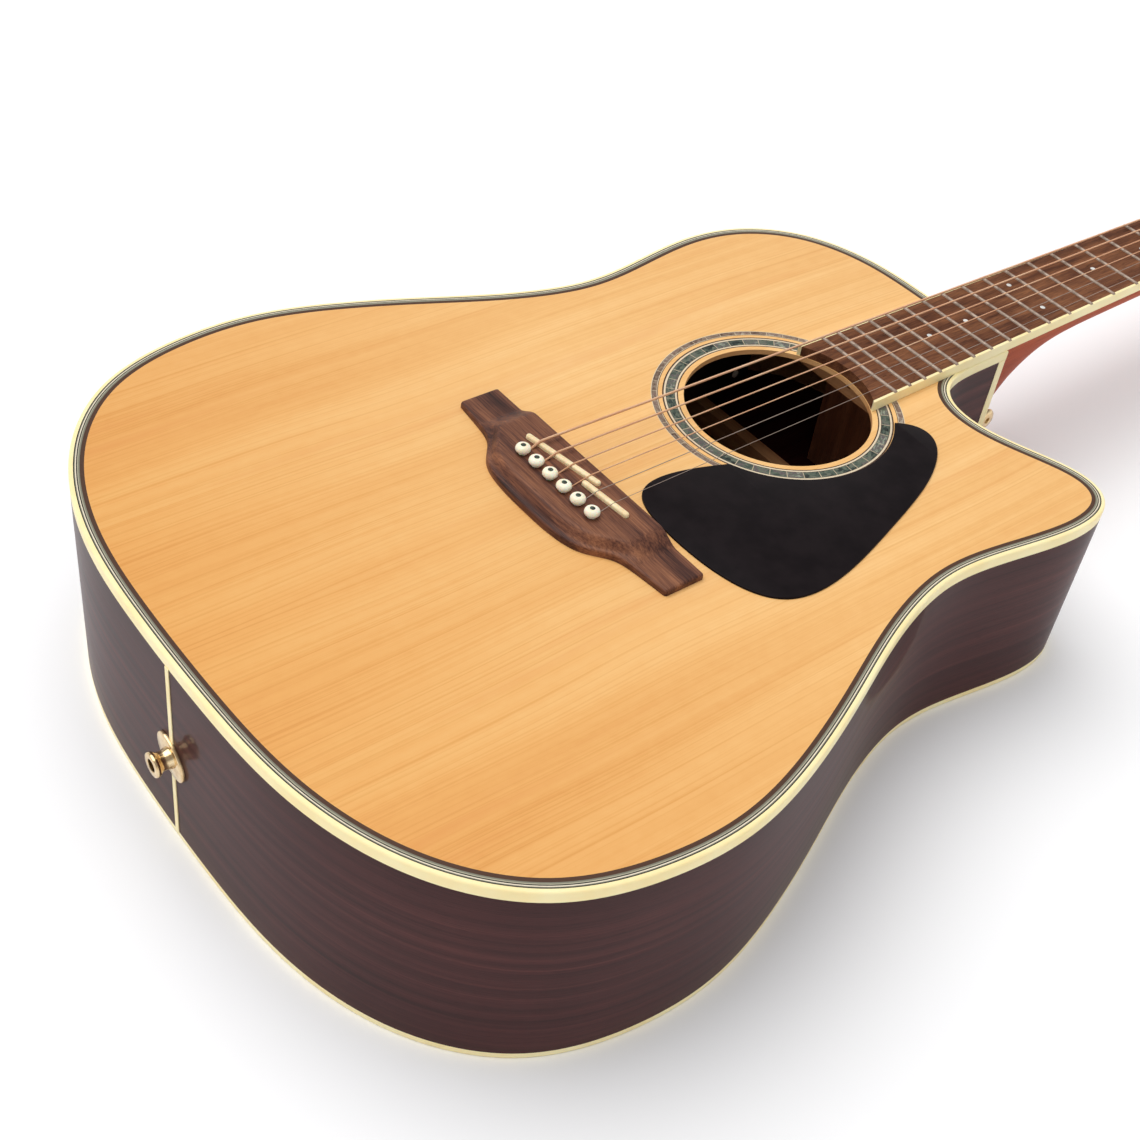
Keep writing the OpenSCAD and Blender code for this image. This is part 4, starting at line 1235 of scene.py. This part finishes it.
def make_strings():
    ball = [(0.7, -1.9), (1.5, -1.9), (1.9, -1.4), (1.9, 1.4), (1.5, 1.9), (0.7, 1.9)]
    steps = 28
    for i, r in enumerate(STRING_R):
        s = Shape().tube(smooth_corners(string_path(i), 1.6), r, 12)
        at = move(string_x(i), PIN_Y + PIN_HOLE_R + 2.1, -7.5) @ spin(QUARTER, "Y")
        s.lathe(ball, 24, matrix=at, loop=True, paint=1)
        metal = WOUND if i < 4 else PLAIN_STEEL
        piece(f"string_{i + 1}", s, TOP, [metal, BRASS],
              ["strings"] if i == 0 else [], sharp=60)
        pitch = 2 * r + 0.02
        rings = []
        for k in range(TURNS * steps + 1):
            a = tau * k / steps
            c, d = cos(a), sin(a)
            z = WINDING_Z - pitch / 2 + pitch * k / steps
            ring = []
            for m in range(10):
                b = tau * m / 10
                out = winding_r(i) + r * cos(b)
                ring.append((out * c, out * d, z + r * sin(b)))
            rings.append(ring)
        piece(f"string_turns_{i + 1}", Shape().loft(rings), at_tuner(i), [metal],
              [f"string_winding_{i + 1}"], f"tuner_post_{i + 1}", sharp=60)


# ---- Tuners ----
POST = [(1.4, -23), (3, -17), (3, 5.2), (2.75, 5.6), (WAIST_R, 5.9), (WAIST_R, 11.1),
        (2.75, 11.5), (3, 11.9), (3, 14.5), (2.85, 15), (2.45, 15.4), (1.2, 15.4), (1, 14.9)]
KEY_LOOP = [(0, 0), (2, 3.4), (8, 8.4), (16, 7.6), (19.5, 0), (16, -7.6), (8, -8.4), (2, -3.4)]


def hexagon_nut(shape, r, hole_r, inner, outer, matrix):
    """Six-sided nut. inner is the heights of its hole's ends, and outer is shares of its
    radius with their heights."""
    corners = circle(r, 6)
    points = []
    for a, b in zip(corners, corners[1:] + corners[:1]):
        points += [between(a, b, t) for t in (0.0, 0.25, 0.5, 0.75)]
    rings = [[(p[0] * f, p[1] * f, z) for p in points] for f, z in outer]
    shape.loft(rings + at_heights(circle(hole_r, len(points)), *inner), loop=True,
               matrix=matrix)


def gear_loop():
    loop = []
    for k in range(GEAR_TEETH):
        a = -QUARTER + (k + 0.5) * tau / GEAR_TEETH
        for r, turn in ((4.75, -8), (5.5, -4), (5.5, 4), (4.75, 8)):
            b = a + radians(turn)
            loop.append(Vector((r * cos(b), r * sin(b))))
    return loop


def worm_rings():
    steps, turns = 16, 3.5
    rings = []
    for k in range(int(turns * steps) + 1):
        a = tau * k / steps
        x = WORM_LEAD * (k / steps - turns / 2)
        rings.append([(x + dx, -AXIS_GAP + r * cos(a), GEAR_Z + r * sin(a))
                      for dx, r in ((-0.5, 1.6), (-0.25, 2.7), (0.25, 2.7), (0.5, 1.6))])
    return rings


def make_tuners():
    housings, cuts, bushings = Shape(), Shape(), Shape()
    bore, barrel, flange = BUSHING_R
    face = VENEER_T + 1
    worm = move(0, -AXIS_GAP, GEAR_Z) @ spin(QUARTER, "Y")
    button = spline(KEY_LOOP + [KEY_LOOP[0]], 6)[:-1]
    for i in range(6):
        local = ON_HEAD.inverted() @ at_tuner(i)
        housings.slab(rounded_rect(22, 21, 3, centre=(0, -2.5)), *HOUSING_Z, top=0.5,
                      bottom=2.2, matrix=local)
        # Room for the gear, the post, the worm and the key's shaft
        for r, z0, z1, sides, at in ((6.3, -24.5, -16, 32, local), (3.3, -20, -10, 32, local),
                                     (3.1, -6, 6, 24, local @ worm),
                                     (2.0, -9.7, 16, 24, local @ worm)):
            cuts.lathe([(r, z0), (r, z1)], sides, matrix=at)
        for x in (-8.4, 8.4):
            housings.lathe([(1.1, -27.35), (1.7, -27.2), (2.0, -26.9), (2.0, -26.2)], 20,
                           matrix=local @ move(x, 5.4))
        bushings.lathe([(bore, -HEAD_T), (barrel, -HEAD_T), (barrel, VENEER_T),
                        (flange, VENEER_T), (flange, VENEER_T + 0.7),
                        (flange - 0.3, face), (bore, face)], 40, matrix=local, loop=True)
        hexagon_nut(bushings, NUT_R, bore, (VENEER_T + 2.6, face),
                    ((1.0, face), (1.0, VENEER_T + 2.1), (0.93, VENEER_T + 2.6)), local)
        post_name, key_name = f"tuner_post_{i + 1}", f"tuner_key_{i + 1}"
        post = Shape().lathe(POST, 32)
        post.prism(gear_loop(), GEAR_Z - 1, GEAR_Z + 1)
        piece(f"gold_post_{i + 1}", post, at_tuner(i), [GOLD], [post_name],
              post_name)
        reach = KEY_X - abs(TUNER_X[i])
        key = Shape().lathe([(1.7, -9.5), (1.9, -9.3), (1.9, reach - 3), (2.6, reach - 2.4),
                             (2.9, reach - 1), (2.9, reach + 1.5)], 24, matrix=worm)
        key.loft(worm_rings())
        key.slab(button, -3, 3, top=2.2, bottom=2.2, matrix=move(reach, -AXIS_GAP, GEAR_Z),
                 steps=5)
        piece(f"gold_key_{i + 1}", key, at_tuner(i), [GOLD], [key_name],
              key_name, sharp=40)
    piece("gold_housings", housings, ON_HEAD, [GOLD], ["tuner_housings"],
          cutter=cuts)
    piece("gold_bushings", bushings, ON_HEAD, [GOLD], ["tuner_bushings"])


# ---- Fittings ----
def crossed_screw(shape, cuts, matrix, r, z):
    """Round screw head with a crossed slot, its face outwards at z"""
    shape.lathe([(r * 0.6, z + 1.4), (r, z + 1.0), (r, z + 0.5), (r * 0.75, z + 0.1),
                 (r * 0.4, z)], 28, paint=1, matrix=matrix)
    narrow, wide = r * 0.16, r * 0.62
    for w, h in ((narrow, wide), (wide, narrow)):
        cuts.prism([(-w, -h), (w, -h), (w, h), (-w, h)], z - 1, z + 0.55, matrix)


def make_fittings():
    strap = [(5.2, 0), (5.4, 0.3), (5.4, 1.1), (4.6, 1.7), (3.6, 2.5), (3.3, 3.6), (3.2, 5),
             (3.25, 6.5), (3.6, 7.7), (4.5, 8.7), (5.8, 9.3), (6.7, 9.8), (6.9, 10.3),
             (6.8, 11), (6.3, 11.8), (5.4, 12.4), (4, 12.8), (2.4, 12.9), (2.0, 12.6),
             (2, 11.6)]
    s = Shape().lathe(strap, 48, matrix=AT_STRAP)
    s.lathe([(1.75, -15), (1.75, 0.2)], 24, matrix=AT_STRAP)
    piece("gold_strap_button", s, Matrix.Identity(4), [GOLD],
          ["strap_button"])
    barrel = [(3.9, 19.5), (3.9, -2.5), (3.25, -2.5), (3.25, -10.2), (3.5, -10.5),
              (5.6, -10.5), (6.0, -10.3), (6.2, -9.9), (6.2, -8.8), (5.9, -8.2), (5.3, -7.6),
              (4.8, -7.0), (4.6, -6.2), (4.6, -4.0), (5.2, -2.4), (5.2, 31.5)]
    s = Shape().lathe(barrel, 64, matrix=AT_JACK)
    turned = AT_JACK @ spin(JACK_TURN, "Z")
    oval = ellipse(*OVAL_R, 72)
    rings = [[(p[0] * f, p[1] * f, z) for p in oval]
             for f, z in ((0.95, -1.6), (0.985, -1.4), (1.0, -1.0), (1.0, 0.0))]
    s.loft(rings + at_heights(circle(5.25, 72), 0.0, -1.6), loop=True, matrix=turned)
    cuts = Shape()
    for side in (-1, 1):
        crossed_screw(s, cuts, turned @ move(side * OVAL_SCREW_X, 0), 1.9, -2.3)
    s.loft(at_heights(circle(8, 6), 24.5, 27.5) + at_heights(circle(6.05, 6), 27.5, 24.5),
           loop=True, matrix=AT_JACK)
    piece("gold_end_jack", s, Matrix.Identity(4), [GOLD, SCREW_STEEL],
          ["end_jack"], cutter=cuts)


# ---- Preamp, in the panel's frame: X along the side, Y down, Z out of the side ----
def make_case():
    s = Shape()
    back = PANEL_OUT - PANEL_D
    s.slab(rounded_rect(PANEL_L, PANEL_H, 1.5), back, 1, bottom=1)
    s.slab(rounded_rect(PANEL_L + 2.4, PANEL_H + 2.4, 4.5), 0.6, PANEL_OUT, top=1.3)
    # The air inside, the holes through the panel, and a shallow groove round the knobs
    cuts = Shape()
    cuts.prism(rounded_rect(PANEL_L - 4, PANEL_H - 4, 1), back + 2, 2.5)
    low, high = -10, 12
    for r, u, v in [(3.1, u, KNOB_V) for u in KNOB_U] + [(3.5, *BUTTON_AT)]:
        cuts.lathe([(r, low), (r, high)], 32, matrix=move(u, v))
    drawer = rounded_rect(DRAWER_W + 0.6, DRAWER_H + 0.6, 0.8, centre=(DRAWER_U, 0))
    cuts.prism(drawer, low, high)
    cuts.prism(rounded_rect(58, 15.5, 7.7, centre=(-13, KNOB_V)), PANEL_OUT - 0.5, high)
    # Two screws hold the inner cover
    for y in (13, -13):
        s.lathe([(1.4, -0.9), (2.3, -0.6), (2.6, 0), (2.6, 0.5)], 24, paint=1,
                matrix=move(0, 0, back) @ move(30, y))
    piece("preamp_case", s, ON_PANEL, [PREAMP, WHITE_MARK],
          ["preamp_housing"], cutter=cuts)


def make_controls():
    knob = [(3, -6)] + [(r, PANEL_OUT + up) for r, up in (
        (3, 0.3), (6.0, 0.35), (6.2, 0.6), (6.1, 2.2), (5.95, 4), (5.8, 5.6), (5.6, 6.7),
        (5.2, 7.2), (4.4, 7.3), (1, 7.1))]
    for k, u in enumerate(KNOB_U):
        s = Shape().lathe(knob, 144, ribs=(24, 0.35, PANEL_OUT + 1, PANEL_OUT + 6))
        s.slab(rounded_rect(0.9, 3.4, 0.4, centre=(0, 3.4)), PANEL_OUT + 7, PANEL_OUT + 7.3,
               top=0.1, paint=1)
        node_name = f"preamp_knob_{k + 1}"
        piece(f"ribbed_knob_{k + 1}", s, ON_PANEL @ move(u, KNOB_V), [KNOB, WHITE_MARK],
              [node_name], node_name)
    button = [(3.4, -3)] + [(r, PANEL_OUT + up) for r, up in (
        (3.4, 1.6), (3.25, 2), (2.9, 2.2), (2.2, 2.1), (0.3, 1.9))]
    piece("grey_push_button", Shape().lathe(button, 40), ON_PANEL @ move(*BUTTON_AT),
          [BUTTON_GREY], ["preamp_button"], "preamp_button")


def make_drawer():
    at = ON_PANEL @ move(DRAWER_U, 0)
    front_z = PANEL_OUT - 2.5
    s = Shape().slab(rounded_rect(DRAWER_W, DRAWER_H, 0.8), front_z, PANEL_OUT, top=0.6)
    tray = rounded_rect(DRAWER_W - 0.4, 28.6, 1, centre=(0, -0.4))
    s.slab(tray, front_z - TRAY_D, PANEL_OUT - 2.4)
    cuts = Shape()
    cuts.prism([(-8.9, -13.6), (8.9, -13.6), (8.9, 24), (-8.9, 24)], -48.3, 1.5)
    cuts.prism(rounded_rect(10, 2.4, 1.1, centre=(0, 13.3)), PANEL_OUT - 1.2, 12)
    piece("battery_tray", s, at, [PREAMP], ["battery_drawer"],
          "battery_drawer", cutter=cuts)
    s = Shape().slab(rounded_rect(17.4, 26.2, 2, centre=(0, -0.4)), -47.9, 0.6, top=0.8,
                     bottom=0.8)
    for y in (-6.5, 5.5):
        s.lathe([(2.9, 0.5), (2.9, 1.2), (2.4, 1.4), (1.4, 1.4), (1.3, 0.9)], 24, paint=1,
                matrix=move(0, y))
    piece("nine_volt_battery", s, at, [BATTERY, SCREW_STEEL], ["battery"],
          "battery_drawer")


make_soundboard()
make_back()
make_sides()
make_binding()
make_purfling()
make_rosette()
make_pickguard()
make_bridge()
make_pins()
make_neck()
make_frets()
make_strings()
make_tuners()
make_fittings()
make_case()
make_controls()
make_drawer()

# CAD nodes whose shape is right: they keep it and get their material
KEPT = {
    INNER_WOOD: ["linings", "soundboard_braces", "bridge_plate", "back_braces"],
    BLOCK_WOOD: ["end_blocks"], BOARD_WOOD: ["fretboard"], CREAM: ["fretboard_binding"],
    IVORY: ["nut"], PEARL_DOT: ["position_dots"], ROD_STEEL: ["truss_rod"],
    BRASS: ["pickup"]}
for material, names in KEPT.items():
    for name in names:
        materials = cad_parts[name].data.materials
        materials.clear()
        materials.append(material)


# ---- Floor, lights and camera ----
def make_floor():
    mesh = bpy.data.meshes.new("floor")
    half = 6.0
    mesh.from_pydata([(-half, -half, 0), (half, -half, 0), (half, half, 0), (-half, half, 0)],
                     [], [(0, 1, 2, 3)])
    floor = bpy.data.objects.new("floor", mesh)
    bpy.context.collection.objects.link(floor)
    material, _, shader = principled("white_floor", Roughness=0.9, Specular_IOR_Level=0.1)
    shader.inputs["Base Color"].default_value = (0.97, 0.97, 0.98, 1)
    mesh.materials.append(material)


def make_world():
    """Bright round the horizon and dimmer overhead, so that flat gloss stays dark"""
    world = bpy.data.worlds.new("studio")
    world.use_nodes = True
    tree = world.node_tree
    place = node(tree, "TexCoord").outputs["Generated"]
    height = node(tree, "SeparateXYZ", {"Vector": place}).outputs["Z"]
    glow = ramp(tree, height, [(0.0, grey(0.95)), (0.22, grey(0.9)), (0.45, grey(0.35)),
                               (1.0, grey(0.45))])
    put(tree, tree.nodes["Background"].inputs["Color"], glow)
    bpy.context.scene.world = world


def make_sun():
    lamp = bpy.data.lights.new("sun", "SUN")
    lamp.energy = 2.25
    lamp.angle = radians(60)
    obj = bpy.data.objects.new("sun", lamp)
    bpy.context.collection.objects.link(obj)
    obj.rotation_euler = Vector((0.3, 0.12, -1)).to_track_quat("-Z", "Y").to_euler()


def make_camera():
    """Camera over the treble side of the tail, looking at a point on the soundboard"""
    at = TOP @ Vector((452.3, -432.1, 511.6))
    aim = TOP @ Vector((44.3, -40.4, 0))
    roll = radians(8.885)
    forward = (aim - at).normalized()
    top_up = TOP.to_3x3() @ Vector((0, 0, 1))
    level = forward.cross(top_up).normalized()
    right = level * cos(roll) + level.cross(forward) * sin(roll)
    up = right.cross(forward)
    data = bpy.data.cameras.new("camera")
    data.sensor_width = 36
    data.lens = 52.76
    data.clip_start = 0.01
    camera = bpy.data.objects.new("camera", data)
    bpy.context.collection.objects.link(camera)
    camera.matrix_world = Matrix((
        (right[0], up[0], -forward[0], at[0]), (right[1], up[1], -forward[1], at[1]),
        (right[2], up[2], -forward[2], at[2]), (0, 0, 0, 1)))
    bpy.context.scene.camera = camera


make_floor()
make_world()
make_sun()
make_camera()
bpy.context.scene.view_settings.view_transform = "Standard"
